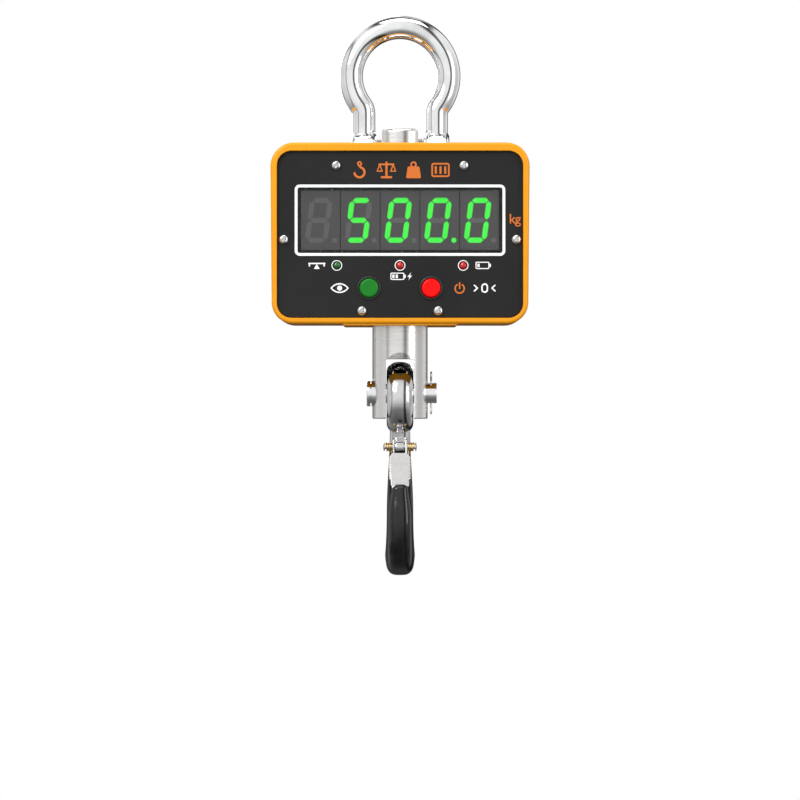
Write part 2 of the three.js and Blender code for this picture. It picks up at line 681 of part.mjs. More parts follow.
function hookBody() {
  const rings = hookStations().map(({ at, across, width, depth }) =>
    HOOK_SECTION.map(([u, v]) =>
      new THREE.Vector3(u * width, at.x + across.x * v * depth, at.y + across.y * v * depth)),
  );
  const middleR = (HOOK_EYE_R + HOOK_EYE_HOLE_R) / 2;
  const radial = (HOOK_EYE_R - HOOK_EYE_HOLE_R) / 2;
  const steps = 12;
  const eyeProfile = Array.from({ length: steps + 1 }, (_, i) => {
    const turn = (-2 * Math.PI * (i % steps)) / steps;
    return [middleR - radial * Math.cos(turn), (Math.sin(turn) * HOOK_EYE_THICK) / 2];
  });
  const eye = turned(eyeProfile, "x", [0, 0, HOOK_EYE_Z]);
  const lugR = RIVET_D / 2 + 2.4;
  const lugShape = new THREE.Shape()
    .moveTo(2, LATCH_PIVOT_Z + lugR + 5)
    .lineTo(LATCH_PIVOT_Y, LATCH_PIVOT_Z + lugR)
    .absarc(LATCH_PIVOT_Y, LATCH_PIVOT_Z, lugR, Math.PI / 2, 1.5 * Math.PI)
    .lineTo(2, LATCH_PIVOT_Z - lugR - 2);
  const lug = sidePlate(lugShape, [-LUG_HALF, LUG_HALF]);
  const rivetHole = rod(RIVET_D + GAP, "x", [-LUG_HALF - 1, LUG_HALF + 1], [0, LATCH_PIVOT_Y, LATCH_PIVOT_Z]);
  return cut(join(loft(rings), eye, lug), rivetHole);
}

/** The latch about its own pivot, hanging straight down, with its face towards -Y. */
function latchBody() {
  const half = LATCH_WIDTH / 2;
  const cheekFrom = LUG_HALF + GAP;
  const cheekTo = cheekFrom + LATCH_STOCK;
  const plateTop = -5.2;
  const faceY = -3.2;
  const face = roundedOutline([
    [-half + 1.2, -LATCH_LENGTH, 2], [half - 1.2, -LATCH_LENGTH, 2],
    [half, plateTop - 3, 2], [cheekTo, plateTop, 0.4], [-cheekTo, plateTop, 0.4], [-half, plateTop - 3, 2]]);
  const plate = slab(face, [faceY, faceY + LATCH_STOCK], 4);
  const lipHalf = half - 2.2;
  const bend = [faceY, faceY + LATCH_BEND];
  const lip = box([-lipHalf, lipHalf], bend, [-LATCH_LENGTH, -LATCH_LENGTH + LATCH_STOCK]);
  const cheekShape = new THREE.Shape()
    .moveTo(faceY, plateTop - 9)
    .lineTo(faceY + 4.4, plateTop - 3)
    .lineTo(3, -1.5)
    .absarc(0, 0, 3.4, -0.4, 2.1)
    .lineTo(faceY, 4.2)
    .lineTo(faceY, plateTop - 9);
  const cheeks = [[-cheekTo, -cheekFrom], [cheekFrom, cheekTo]].map((reach) => sidePlate(cheekShape, reach));
  const flanges = [-1, 1].map((side) => {
    const [a, b] = [side * half, side * (half - LATCH_STOCK)].sort((p, q) => p - q);
    return box([a, b], bend, [plateTop - 19, plateTop - 5]);
  });
  const rivetHole = rod(RIVET_D + GAP, "x", [-half, half]);
  return cut(join(plate, lip, ...cheeks, ...flanges), rivetHole);
}

/** A helix about X that starts and ends with its wire lying across the axis. */
class SpringCoil extends THREE.Curve {
  constructor(from, pitch, side) {
    super();
    Object.assign(this, { from, pitch, side });
  }
  getPoint(t) {
    const turn = 2 * Math.PI * SPRING_TURNS * t;
    const x = this.side * (this.from + this.pitch * SPRING_TURNS * t);
    return new THREE.Vector3(x, SPRING_COIL_R * Math.cos(turn), SPRING_COIL_R * Math.sin(turn));
  }
}

function hookAndLatch() {
  const group = new THREE.Group();
  group.add(piece("hook", hookBody(), "blackSteel"));

  const pivot = new THREE.Group();
  pivot.position.set(0, LATCH_PIVOT_Y, LATCH_PIVOT_Z);
  const latch = piece("safety_latch", latchBody(), "satinSteel");
  latch.rotation.x = THREE.MathUtils.degToRad(-LATCH_LEAN);
  pivot.add(latch);

  const coilFrom = LUG_HALF + 2 * GAP + LATCH_STOCK + SPRING_WIRE_D / 2;
  const coilPitch = SPRING_WIRE_D + 0.25;
  const coilEnd = coilFrom + coilPitch * SPRING_TURNS + SPRING_WIRE_D / 2;
  const headFrom = coilEnd + GAP;
  const headD = RIVET_D + 2.4;
  const headThick = 1.2;
  const rivet = join(
    rod(RIVET_D, "x", [-headFrom - 0.2, headFrom + 0.2]),
    chamferedRod(headD, "x", [headFrom, headFrom + headThick], 0.4),
    chamferedRod(headD, "x", [-headFrom - headThick, -headFrom], 0.4),
  );
  pivot.add(piece("latch_rivet", rivet, "brightSteel"));
  for (const [name, side] of [["latch_spring_left", -1], ["latch_spring_right", 1]]) {
    const coil = new SpringCoil(coilFrom, coilPitch, side);
    pivot.add(piece(name, wire(coil, SPRING_WIRE_D, 28, 4), "brass"));
  }
  group.add(pivot);
  return group;
}

// ---- Housing ------------------------------------------------------------------------------

/** The housing's outline in X and Z, moved in by a wall. */
function housingOutline(inset = 0) {
  const top = HOUSING_TOP_WIDTH / 2 - inset;
  const foot = HOUSING_FOOT_WIDTH / 2 - inset;
  const [topZ, footZ] = [HOUSING_TOP_Z - inset, HOUSING_FOOT_Z + inset];
  const [topR, footR] = [CORNER_TOP_R - inset, CORNER_FOOT_R - inset];
  return roundedOutline([
    [-foot, footZ, footR], [foot, footZ, footR], [top, topZ, topR], [-top, topZ, topR]]);
}

/** The whole casing before it is hollowed: soft front and back edges, and a raised foot below. */
function casingBlank() {
  const steps = 2;
  const layers = Array.from({ length: steps + 1 }, (_, i) => {
    const angle = (Math.PI / 2) * (i / steps);
    return [EDGE_R * (1 - Math.sin(angle)), EDGE_R * (1 - Math.cos(angle))];
  });
  const outlineRing = (inset, y) =>
    housingOutline(inset).getPoints(6).toReversed().slice(1).map((p) => new THREE.Vector3(p.x, y, p.y));
  const front = layers.map(([inset, back]) => outlineRing(inset, FRONT_Y + back));
  const rear = layers.toReversed().map(([inset, back]) => outlineRing(inset, BACK_Y - back));
  const half = FOOT_BOSS_WIDTH / 2;
  const boss = new THREE.Shape([
    new THREE.Vector2(-half + FOOT_BOSS_THICK, FOOT_FACE_Z),
    new THREE.Vector2(half - FOOT_BOSS_THICK, FOOT_FACE_Z),
    new THREE.Vector2(half, HOUSING_FOOT_Z),
    new THREE.Vector2(half, HOUSING_FOOT_Z + 1),
    new THREE.Vector2(-half, HOUSING_FOOT_Z + 1),
    new THREE.Vector2(-half, HOUSING_FOOT_Z),
  ]);
  return join(loft([...front, ...rear]), slab(boss, [FRONT_Y + EDGE_R, BACK_Y - EDGE_R]));
}

/** The well in the top of the housing that the shackle swings in, as its walls or its space. */
function shackleWell(wall, above = 0) {
  const outline = roundedRectangle(2 * (POCKET_HALF_X + wall), 2 * (POCKET_HALF_Y + wall), 4 + wall);
  const height = POCKET_DEPTH + wall + above;
  const options = { depth: height, bevelEnabled: false, curveSegments: 4 };
  return solidOf(new THREE.ExtrudeGeometry(outline, options).translate(0, 0, POCKET_FLOOR_Z - wall));
}

/** Everything that both halves of the casing lose: the well, and the load cell's way through. */
function sharedCuts() {
  const past = 2;
  const sealR = CELL_D / 2 + GAP + SEAL_WALL + GAP;
  const cellWay = rod(2 * sealR, "z", [FOOT_FACE_Z - past, POCKET_FLOOR_Z + past]);
  return [shackleWell(0, past), cellWay];
}

const shellBoltPlaces = SHELL_BOLT_LEVELS.flatMap((z) => [[-SHELL_BOLT_X, z], [SHELL_BOLT_X, z]]);

/** Round bosses or holes along Y at several places in X and Z. */
function rodsAt(places, diameter, reach) {
  return places.map(([x, z]) => rod(diameter, "y", reach, [x, 0, z]));
}

function frontShell() {
  const front = box([-200, 200], [FRONT_Y - 1, -PARTING], [-400, 0]);
  const blank = casingBlank().intersect(front);
  const innerSpace = slab(housingOutline(WALL), [LEDGE_BACK_Y, 0]);
  const panelSpace = slab(panelOutline(GAP), [FRONT_Y - 1, LEDGE_Y]);
  const ledgeTop = PANEL_TOP_Z - LEDGE_TOP;
  const ledgeFoot = PANEL_FOOT_Z + LEDGE_FOOT;
  const ledgeWindow = slab(
    roundedRectangle(PANEL_WIDTH - 2 * LEDGE_SIDE, ledgeTop - ledgeFoot, 3, [0, (ledgeTop + ledgeFoot) / 2]),
    [LEDGE_Y - 1, LEDGE_BACK_Y + 1]);
  const hollow = cut(blank, innerSpace, panelSpace, ledgeWindow);
  const well = shackleWell(WALL).intersect(front);
  const boardPosts = POST_LEVELS.flatMap((z) =>
    [-POST_X, POST_X].flatMap((x) => [
      rod(POST_D, "y", [LEDGE_BACK_Y - 1, BOARD_Y - GAP], [x, 0, z]),
      rod(POST_PIN_D, "y", [LEDGE_BACK_Y - 1, MAIN_BOARD_Y - GAP], [x, 0, z]),
    ]),
  );
  const screwEnd = PANEL_Y - GAP + PANEL_SCREW_LENGTH + GAP;
  const screwBosses = rodsAt(PANEL_SCREWS, POST_D, [LEDGE_BACK_Y - 1, screwEnd + 1]);
  const boltBosses = rodsAt(shellBoltPlaces, BOLT_BOSS_D, [LEDGE_BACK_Y - 1, -PARTING]);
  const screwHoles = rodsAt(PANEL_SCREWS, PANEL_SCREW_D + SCREW_PLAY, [LEDGE_Y - 1, screwEnd]);
  const boltHoles = rodsAt(shellBoltPlaces, SHELL_BOLT_D + SCREW_PLAY, [-BOLT_GRIP, 1]);
  const body = join(hollow, well, ...boardPosts, ...screwBosses, ...boltBosses);
  return cut(body, ...sharedCuts(), ...screwHoles, ...boltHoles, collarBoltHole(-1));
}

/** The hole in the housing's floor for a bolt of the load cell's collar, and its head's recess. */
function collarBoltHole(side) {
  const at = [0, side * COLLAR_BOLT_Y, 0];
  return join(
    rod(SHELL_BOLT_D + SCREW_PLAY, "z", [FOOT_FACE_Z - 1, FLOOR_Z + 1], at),
    rod(SHELL_BOLT_HEAD_D + SCREW_PLAY, "z", [FOOT_FACE_Z - 1, FOOT_FACE_Z + BOLT_HEAD_THICK + GAP], at),
  );
}

function rearShell() {
  const rear = box([-200, 200], [PARTING, BACK_Y + 1], [-400, 0]);
  const blank = casingBlank().intersect(rear);
  const innerSpace = slab(housingOutline(WALL), [0, DOOR_INNER_Y]);
  const hollow = cut(blank, innerSpace);
  const well = shackleWell(WALL).intersect(rear);
  const boltBosses = rodsAt(shellBoltPlaces, BOLT_BOSS_D, [PARTING, DOOR_INNER_Y + 1]);
  const boltHoles = rodsAt(shellBoltPlaces, SHELL_BOLT_D + SCREW_PLAY, [0, BACK_Y + 1]);
  const boltRecesses = rodsAt(
    shellBoltPlaces, SHELL_BOLT_HEAD_D + 2 * SCREW_PLAY, [BACK_Y - BOLT_RECESS, BACK_Y + 1]);
  const socketAt = [[SOCKET_X, SOCKET_Z]];
  const flangeSeat = BACK_Y - SOCKET_FLANGE_THICK - 2 * GAP;
  const socketBoss = rodsAt(socketAt, SOCKET_FLANGE_D + 4, [DOOR_INNER_Y - 2, DOOR_INNER_Y + 1]);
  const socketHoles = [
    ...rodsAt(socketAt, SOCKET_D + SCREW_PLAY, [DOOR_INNER_Y - 3, BACK_Y + 1]),
    ...rodsAt(socketAt, SOCKET_FLANGE_D + SCREW_PLAY, [flangeSeat, BACK_Y + 1]),
  ];
  const body = join(hollow, well, ...boltBosses, ...socketBoss, ...batteryBayWalls());
  const holes = [...boltHoles, ...boltRecesses, ...socketHoles, ...batteryBayCuts(), collarBoltHole(1)];
  return cut(body, ...sharedCuts(), ...holes);
}

/** The bay's box, and the thicker frame that carries the door's hinge pin and its thumbscrew. */
function batteryBayWalls() {
  const frame = 5;
  const frameDepth = 4.5;
  const bay = box(
    [BAY_LEFT - BAY_WALL, BAY_RIGHT + BAY_WALL],
    [BAY_FLOOR_Y - BAY_WALL, DOOR_INNER_Y + 0.5],
    [BAY_CENTRE_Z - BAY_HEIGHT / 2 - BAY_WALL, BAY_CENTRE_Z + BAY_HEIGHT / 2 + BAY_WALL]);
  const doorFrame = box(
    [DOOR_HINGE_X - KNUCKLE_R - frame, DOOR_RIGHT + frame],
    [DOOR_INNER_Y - frameDepth, DOOR_INNER_Y + 0.5],
    [BAY_CENTRE_Z - DOOR_HEIGHT / 2 - frame, BAY_CENTRE_Z + DOOR_HEIGHT / 2 + frame]);
  return [bay, doorFrame];
}

function batteryBayCuts() {
  const halfDoor = DOOR_HEIGHT / 2;
  const doorWay = [BAY_CENTRE_Z - halfDoor - DOOR_GAP, BAY_CENTRE_Z + halfDoor + DOOR_GAP];
  const hinge = [DOOR_HINGE_X, KNUCKLE_Y, 0];
  const bay = box([BAY_LEFT, BAY_RIGHT], [BAY_FLOOR_Y, BACK_Y + 1],
    [BAY_CENTRE_Z - BAY_HEIGHT / 2, BAY_CENTRE_Z + BAY_HEIGHT / 2]);
  const doorRecess = box([DOOR_HINGE_X, DOOR_RIGHT + DOOR_GAP], [DOOR_INNER_Y - GAP, BACK_Y + 1], doorWay);
  const knuckleRecess = rod(2 * (KNUCKLE_R + DOOR_GAP), "z", doorWay, hinge);
  const knuckleOpening = box(
    [DOOR_HINGE_X - KNUCKLE_R - DOOR_GAP, DOOR_HINGE_X + KNUCKLE_R], [KNUCKLE_Y, BACK_Y + 1], doorWay);
  const bite = DOOR_PIN_BITE + GAP;
  const pinHole = rod(DOOR_PIN_D + RUNNING, "z", [doorWay[0] - bite, doorWay[1] + bite], hinge);
  const screwHole = rod(THUMBSCREW_D + 2 * THUMBSCREW_PLAY, "y", [DOOR_INNER_Y - 5, BACK_Y + 1],
    [THUMBSCREW_X, 0, BAY_CENTRE_Z]);
  return [bay, doorRecess, knuckleRecess, knuckleOpening, pinHole, screwHole];
}

function housing() {
  const group = new THREE.Group();
  group.add(piece("front_shell", frontShell(), "orangePaint"));
  group.add(piece("rear_shell", rearShell(), "orangePaint"));

  const gasketEdge = 0.6;
  const gasketWide = 2;
  const gasketReach = [-GASKET_THICK / 2, GASKET_THICK / 2];
  const gasket = cut(
    slab(housingOutline(gasketEdge), gasketReach),
    slab(housingOutline(gasketEdge + gasketWide), [-1, 1]),
    box([-POCKET_HALF_X - WALL, POCKET_HALF_X + WALL], [-1, 1], [HOUSING_TOP_Z - WALL, HOUSING_TOP_Z]),
    box([-COLLAR_R, COLLAR_R], [-1, 1], [HOUSING_FOOT_Z, FLOOR_Z]),
  );
  const [leftHalf, rightHalf] = [[-HOUSING_TOP_WIDTH, 0], [0, HOUSING_TOP_WIDTH]].map((half) =>
    gasket.intersect(box(half, [-1, 1], [HOUSING_FOOT_Z, HOUSING_TOP_Z])));
  group.add(piece("gasket_left", leftHalf, "rubber"), piece("gasket_right", rightHalf, "rubber"));

  shellBoltPlaces.forEach(([x, z], i) => {
    const headTop = BACK_Y - BOLT_RECESS + GAP;
    const bolt = socketBolt(SHELL_BOLT_D, SHELL_BOLT_HEAD_D, headTop + BOLT_GRIP - 1);
    const mesh = piece(`shell_bolt_${i + 1}`, bolt, "brightSteel", [x, headTop, z]);
    group.add(mesh);
  });

  const collarFoot = FLOOR_Z + GAP;
  const throughCollar = [collarFoot - 1, collarFoot + COLLAR_THICK + 1];
  const collarHoles = [-1, 1].map((side) =>
    rod(SHELL_BOLT_D + SCREW_PLAY, "z", throughCollar, [0, side * COLLAR_BOLT_Y, 0]));
  const collar = ring(2 * COLLAR_R, CELL_D + 2 * GAP, "z", [collarFoot, collarFoot + COLLAR_THICK]);
  group.add(piece("cell_collar", cut(collar, ...collarHoles), "satinSteel"));
  for (const [name, side] of [["collar_bolt_front", -1], ["collar_bolt_rear", 1]]) {
    const length = collarFoot + COLLAR_THICK - FOOT_FACE_Z - BOLT_HEAD_THICK;
    const mesh = piece(name, socketBolt(SHELL_BOLT_D, SHELL_BOLT_HEAD_D, length), "brightSteel",
      [0, side * COLLAR_BOLT_Y, FOOT_FACE_Z + BOLT_HEAD_THICK]);
    mesh.rotation.x = -Math.PI / 2;
    group.add(mesh);
  }

  const sealIn = CELL_R + GAP;
  const sealOut = sealIn + SEAL_WALL;
  const lip = 2.4;
  const lipTop = POCKET_FLOOR_Z + GAP + 1.3;
  const upperSeal = [
    [sealIn, POCKET_FLOOR_Z - WALL], [sealOut, POCKET_FLOOR_Z - WALL], [sealOut, POCKET_FLOOR_Z + GAP],
    [sealOut + lip, POCKET_FLOOR_Z + GAP], [sealOut + lip, lipTop], [sealIn, lipTop],
    [sealIn, POCKET_FLOOR_Z - WALL],
  ];
  group.add(piece("seal_upper", turned(upperSeal, "z"), "rubber"));
  group.add(piece("seal_lower", ring(2 * sealOut, 2 * sealIn, "z", [FOOT_FACE_Z + GAP, FLOOR_Z]), "rubber"));
  return group;
}

/** A socket-head bolt along Y: its head rises from 0 towards +Y, and its shank goes to -Y. */
function socketBolt(diameter, headD, length) {
  const head = chamferedRod(headD, "y", [0, BOLT_HEAD_THICK], 0.4);
  const shank = rod(diameter, "y", [-length, 0.5]);
  const hexR = headD * 0.26;
  const hex = turned([[0, BOLT_HEAD_THICK / 2], [hexR, BOLT_HEAD_THICK / 2], [hexR, BOLT_HEAD_THICK + 1],
    [0, BOLT_HEAD_THICK + 1]], "y", [0, 0, 0], 6);
  return cut(join(head, shank), hex);
}

// ---- Front panel, display and buttons -----------------------------------------------------

/** The panel's outline in X and Z, grown by a margin. */
function panelOutline(margin = 0) {
  const [width, height] = [PANEL_WIDTH + 2 * margin, PANEL_HEIGHT + 2 * margin];
  return roundedRectangle(width, height, PANEL_CORNER_R + margin, [0, PANEL_TOP_Z - PANEL_HEIGHT / 2]);
}

const LAMPS = [
  ["lamp_stable", -LAMP_X, "greenPlastic"],
  ["lamp_charge", 0, "redPlastic"],
  ["lamp_low", LAMP_X, "redPlastic"],
];
const BUTTONS = [
  ["view", -BUTTON_X, "greenPlastic"],
  ["power", BUTTON_X, "redPlastic"],
];

function frontPanel() {
  const through = [PANEL_Y - 1, PANEL_BACK_Y + 1];
  const windowHole = slab(
    roundedRectangle(WINDOW_WIDTH, WINDOW_HEIGHT, 1.5, [0, WINDOW_Z]), through, 3);
  const screwHoles = PANEL_SCREWS.map(([x, z]) => rod(PANEL_SCREW_D + SCREW_PLAY, "y", through, [x, 0, z]));
  const lampHoles = LAMPS.map(([, x]) => rod(LAMP_D + 2 * GAP, "y", through, [x, 0, LAMP_Z]));
  const bezelHoles = BUTTONS.map(([, x]) => rod(BEZEL_D - 1.4 + 2 * GAP, "y", through, [x, 0, BUTTON_Z]));
  const sheet = slab(panelOutline(), [PANEL_Y, PANEL_BACK_Y], 8);
  return cut(sheet, windowHole, ...screwHoles, ...lampHoles, ...bezelHoles);
}

/** A cross-recessed pan-head screw along Y, its head's seat at 0 and its face towards -Y. */
function panelScrew() {
  const r = PANEL_SCREW_HEAD_D / 2;
  const head = turned([[0, -1.9], [r * 0.6, -1.7], [r, -0.6], [r, 0], [0, 0]], "y");
  const shank = rod(PANEL_SCREW_D, "y", [-0.5, PANEL_SCREW_LENGTH]);
  const bar = [-r * 0.58, r * 0.58];
  const slot = [-0.45, 0.45];
  const recess = join(box(bar, [-3, -1], slot), box(slot, [-3, -1], bar));
  return cut(join(head, shank), recess);
}

function displayUnit() {
  const group = new THREE.Group();
  group.add(piece("front_panel", frontPanel(), "charcoal"));
  PANEL_SCREWS.forEach(([x, z], i) => {
    group.add(piece(`panel_screw_${i + 1}`, panelScrew(), "brightSteel", [x, PANEL_Y - GAP, z]));
  });
  const lens = roundedRectangle(WINDOW_WIDTH - 2 * GAP, WINDOW_HEIGHT - 2 * GAP, 1.2, [0, WINDOW_Z]);
  group.add(piece("display_window", slab(lens, [PANEL_Y + GAP, PANEL_BACK_Y], 3), "smokedLens"));

  for (let i = 0; i < DIGIT_COUNT; i++) {
    const x = (i - (DIGIT_COUNT - 1) / 2) * DIGIT_PITCH;
    const half = (DIGIT_PITCH - GAP) / 2;
    const halfHeight = DIGIT_HEIGHT / 2;
    const module = box([-half, half], [MODULE_Y, MODULE_Y + DIGIT_DEPTH], [-halfHeight, halfHeight]);
    group.add(piece(`digit_${i + 1}`, module, "moduleGrey", [x, 0, WINDOW_Z]));
  }
  for (const [name, x, colour] of LAMPS) group.add(piece(name, lampBody(), colour, [x, 0, LAMP_Z]));
  group.add(piece("display_board", displayBoard(), "circuitGreen"));
  group.add(piece("main_board", mainBoard(), "circuitGreen"));
  for (const [name, x, colour] of BUTTONS) group.add(...pushButton(name, x, colour));
  return group;
}

/** A lamp along Y: a domed lens through the panel, and a wider foot on the board. */
function lampBody() {
  const r = LAMP_D / 2;
  const tip = PANEL_Y - 0.6;
  const foot = BOARD_Y - GAP;
  const footR = r + 0.5;
  const dome = [[0, tip], [r * 0.6, tip + 0.4], [r, tip + 1.6]];
  return turned([...dome, [r, foot - 1], [footR, foot - 1], [footR, foot], [0, foot]], "y");
}

/** A push button, the bezel that guides it, and the switch behind it. */
function pushButton(name, x, colour) {
  const at = [x, 0, BUTTON_Z];
  const capR = BUTTON_D / 2;
  const neckR = BEZEL_D / 2 - 0.7;
  const face = PANEL_Y - BUTTON_PROUD;
  const collarY = PANEL_BACK_Y + 1;
  const switchTop = BOARD_Y - GAP - SWITCH_HEIGHT;
  const capEnd = switchTop - BUTTON_TRAVEL - GAP;
  const collarEnd = collarY + 1.3;
  const stemR = 2;
  const cap = [
    [0, face], [capR * 0.7, face + 0.25], [capR * 0.95, face + 0.8], [capR, face + 1.5],
    [capR, collarY + GAP], [neckR, collarY + GAP], [neckR, collarEnd],
    [stemR, collarEnd], [stemR, capEnd], [0, capEnd]];
  const boreR = capR + GAP;
  const outerR = BEZEL_D / 2;
  const lip = PANEL_Y - BEZEL_PROUD;
  const bezel = [
    [boreR, lip + 0.2], [boreR + 0.3, lip], [outerR - 0.5, lip], [outerR, lip + 0.5],
    [outerR, PANEL_Y - GAP], [neckR, PANEL_Y - GAP], [neckR, collarY - GAP], [boreR, collarY - GAP],
    [boreR, lip + 0.2]];
  const half = SWITCH_WIDTH / 2;
  const foot = BOARD_Y - GAP;
  const plunger = 1.2;
  const body = join(
    box([-half, half], [switchTop + plunger, foot], [-half, half]),
    rod(SWITCH_WIDTH * 0.55, "y", [switchTop, foot - 1]),
  );
  return [
    piece(`button_${name}`, turned(cap, "y"), colour, at),
    piece(`bezel_${name}`, turned(bezel, "y"), "blackPlastic", at),
    piece(`switch_${name}`, body, "blackPlastic", at),
  ];
}

const postPlaces = POST_LEVELS.flatMap((z) => [[-POST_X, z], [POST_X, z]]);

/** A board across the housing with holes for the posts. */
function boardSheet(y, topZ, holeD) {
  const holes = postPlaces.map(([x, z]) => rod(holeD, "y", [y - 1, y + BOARD_THICK + 1], [x, 0, z]));
  return cut(box([-BOARD_WIDTH / 2, BOARD_WIDTH / 2], [y, y + BOARD_THICK], [BOARD_FOOT_Z, topZ]), ...holes);
}

function displayBoard() {
  const driver = box([20, 34], [BOARD_Y + 1, BOARD_Y + 3.6], [-166, -158]);
  return join(boardSheet(BOARD_Y, DISPLAY_BOARD_TOP_Z, POST_PIN_D + SCREW_PLAY), driver);
}

function mainBoard() {
  const back = MAIN_BOARD_Y + BOARD_THICK;
  const parts = [
    box([-64, -44], [back - 0.5, back + 9], [-150, -126]), // transformer
    box([-40, -26], [back - 0.5, back + 2.4], [-150, -136]), // converter chip
    box([44, 58], [back - 0.5, back + 3], [-146, -132]), // controller
    box(CONNECTOR_X, [back - 0.5, back + CONNECTOR_DEPTH], [CABLE_END_Z - 4, CABLE_END_Z + 4]),
    rod(8, "y", [back - 0.5, back + 10], [-52, 0, -165]), // capacitor
  ];
  return join(boardSheet(MAIN_BOARD_Y, MAIN_BOARD_TOP_Z, POST_PIN_D + SCREW_PLAY), ...parts);
}

/** The shielded cable from the gauges to the main board's connector. */
function sensorCable() {
  const coverY = -Math.sqrt(CELL_R ** 2 - (GAUGE_POCKET_D / 2) ** 2);
  const y = MAIN_BOARD_Y + BOARD_THICK + CONNECTOR_DEPTH / 2;
  const route = [
    [0, coverY + GAUGE_COVER_THICK - 0.2, GAUGE_Z],
    [0, coverY - 1.2, GAUGE_Z],
    [3, y + 0.4, GAUGE_Z - 2],
    [12, y, GAUGE_Z - 5],
    [CONNECTOR_X[0] - 8, y, CABLE_END_Z],
    [CONNECTOR_X[0] - GAP, y, CABLE_END_Z],
  ].map((point) => new THREE.Vector3(...point));
  return wire(new THREE.CatmullRomCurve3(route), CABLE_D, 20, 8);
}

// ---- Battery bay --------------------------------------------------------------------------

function batteryDoor() {
  const halfHeight = DOOR_HEIGHT / 2;
  const span = [BAY_CENTRE_Z - halfHeight, BAY_CENTRE_Z + halfHeight];
  const hinge = [DOOR_HINGE_X, KNUCKLE_Y, 0];
  const leaf = box([DOOR_HINGE_X, DOOR_RIGHT], [DOOR_INNER_Y, BACK_Y], span);
  const knuckle = rod(2 * KNUCKLE_R, "z", span, hinge);
  const pinHole = rod(DOOR_PIN_D + RUNNING, "z", [span[0] - 1, span[1] + 1], hinge);
  const screwAt = [THUMBSCREW_X, 0, BAY_CENTRE_Z];
  const cupR = THUMBSCREW_HEAD_D / 2 + GAP;
  const screwHole = rod(THUMBSCREW_D + RUNNING, "y", [DOOR_INNER_Y - 1, BACK_Y + 1], screwAt);
  const cup = rod(2 * cupR, "y", [BACK_Y - THUMBSCREW_CUP, BACK_Y + 1], screwAt);
  return cut(join(leaf, knuckle), pinHole, screwHole, cup);
}

/** The door's captive thumbscrew about its own axis, with a slot across its head. */
function thumbscrew() {
  const seat = BACK_Y - THUMBSCREW_CUP + GAP;
  const face = BACK_Y - 0.1;
  const head = chamferedRod(THUMBSCREW_HEAD_D, "y", [seat, face], 0.3);
  const shank = rod(THUMBSCREW_D, "y", [DOOR_INNER_Y - 3.5, seat + 0.4]);
  const slot = box([-THUMBSCREW_HEAD_D, THUMBSCREW_HEAD_D], [face - 0.8, BACK_Y + 1], [-0.6, 0.6]);
  return cut(join(head, shank), slot);
}

function batteryUnit() {
  const group = new THREE.Group();
  const slack = 1;
  const halfHeight = BAY_HEIGHT / 2 - slack;
  const pack = box([BAY_LEFT + slack, BAY_RIGHT - slack], [BAY_FLOOR_Y + GAP, DOOR_INNER_Y - slack],
    [BAY_CENTRE_Z - halfHeight, BAY_CENTRE_Z + halfHeight]);
  group.add(piece("battery_pack", pack, "batteryGrey"));
  group.add(piece("battery_door", batteryDoor(), "orangePaint"));
  const reach = DOOR_HEIGHT / 2 + DOOR_GAP + DOOR_PIN_BITE;
  const pin = rod(DOOR_PIN_D, "z", [BAY_CENTRE_Z - reach, BAY_CENTRE_Z + reach]);
  group.add(piece("door_hinge_pin", pin, "brightSteel", [DOOR_HINGE_X, KNUCKLE_Y, 0]));
  group.add(piece("door_thumbscrew", thumbscrew(), "brightSteel", [THUMBSCREW_X, 0, BAY_CENTRE_Z]));

  group.add(piece("charge_socket", chargeSocket(), "blackPlastic", [SOCKET_X, 0, SOCKET_Z]));
  return group;
}

/** The round charge socket in the back, along Y: a flanged barrel with a blind bore for the plug. */
function chargeSocket() {
  const face = BACK_Y - GAP;
  const flange = rod(SOCKET_FLANGE_D, "y", [face - SOCKET_FLANGE_THICK, face]);
  const barrel = rod(SOCKET_D, "y", [DOOR_INNER_Y - SOCKET_DEPTH, face - 0.5]);
  const bore = rod(SOCKET_BORE_D, "y", [DOOR_INNER_Y - SOCKET_DEPTH + 3, face + 1]);
  return cut(join(flange, barrel), bore);
}

// ---- The whole scale ----------------------------------------------------------------------

const craneScale = new THREE.Group();
craneScale.name = "crane_scale";
craneScale.add(shackle(), loadCell(), hookAndLatch(), housing(), displayUnit(), batteryUnit());
const sensorCableMesh = piece("sensor_cable", sensorCable(), "rubber");
craneScale.add(sensorCableMesh);

export default craneScale;
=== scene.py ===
"""Looks of a crane scale: shackle, load cell, hook, housing, display unit and battery unit.

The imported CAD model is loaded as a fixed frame, and each of its nodes gets a finer piece in the
same place, with its own finish. Shapes are drawn in millimetres in the frame's own axes: +Z is up,
the front looks towards -Y, and the origin is the inside of the bow's crown.
"""

import json
import logging
import math
from collections.abc import Callable, Iterable, Sequence
from dataclasses import dataclass, field
from enum import Enum

import bmesh
import bpy
from mathutils import Matrix, Vector

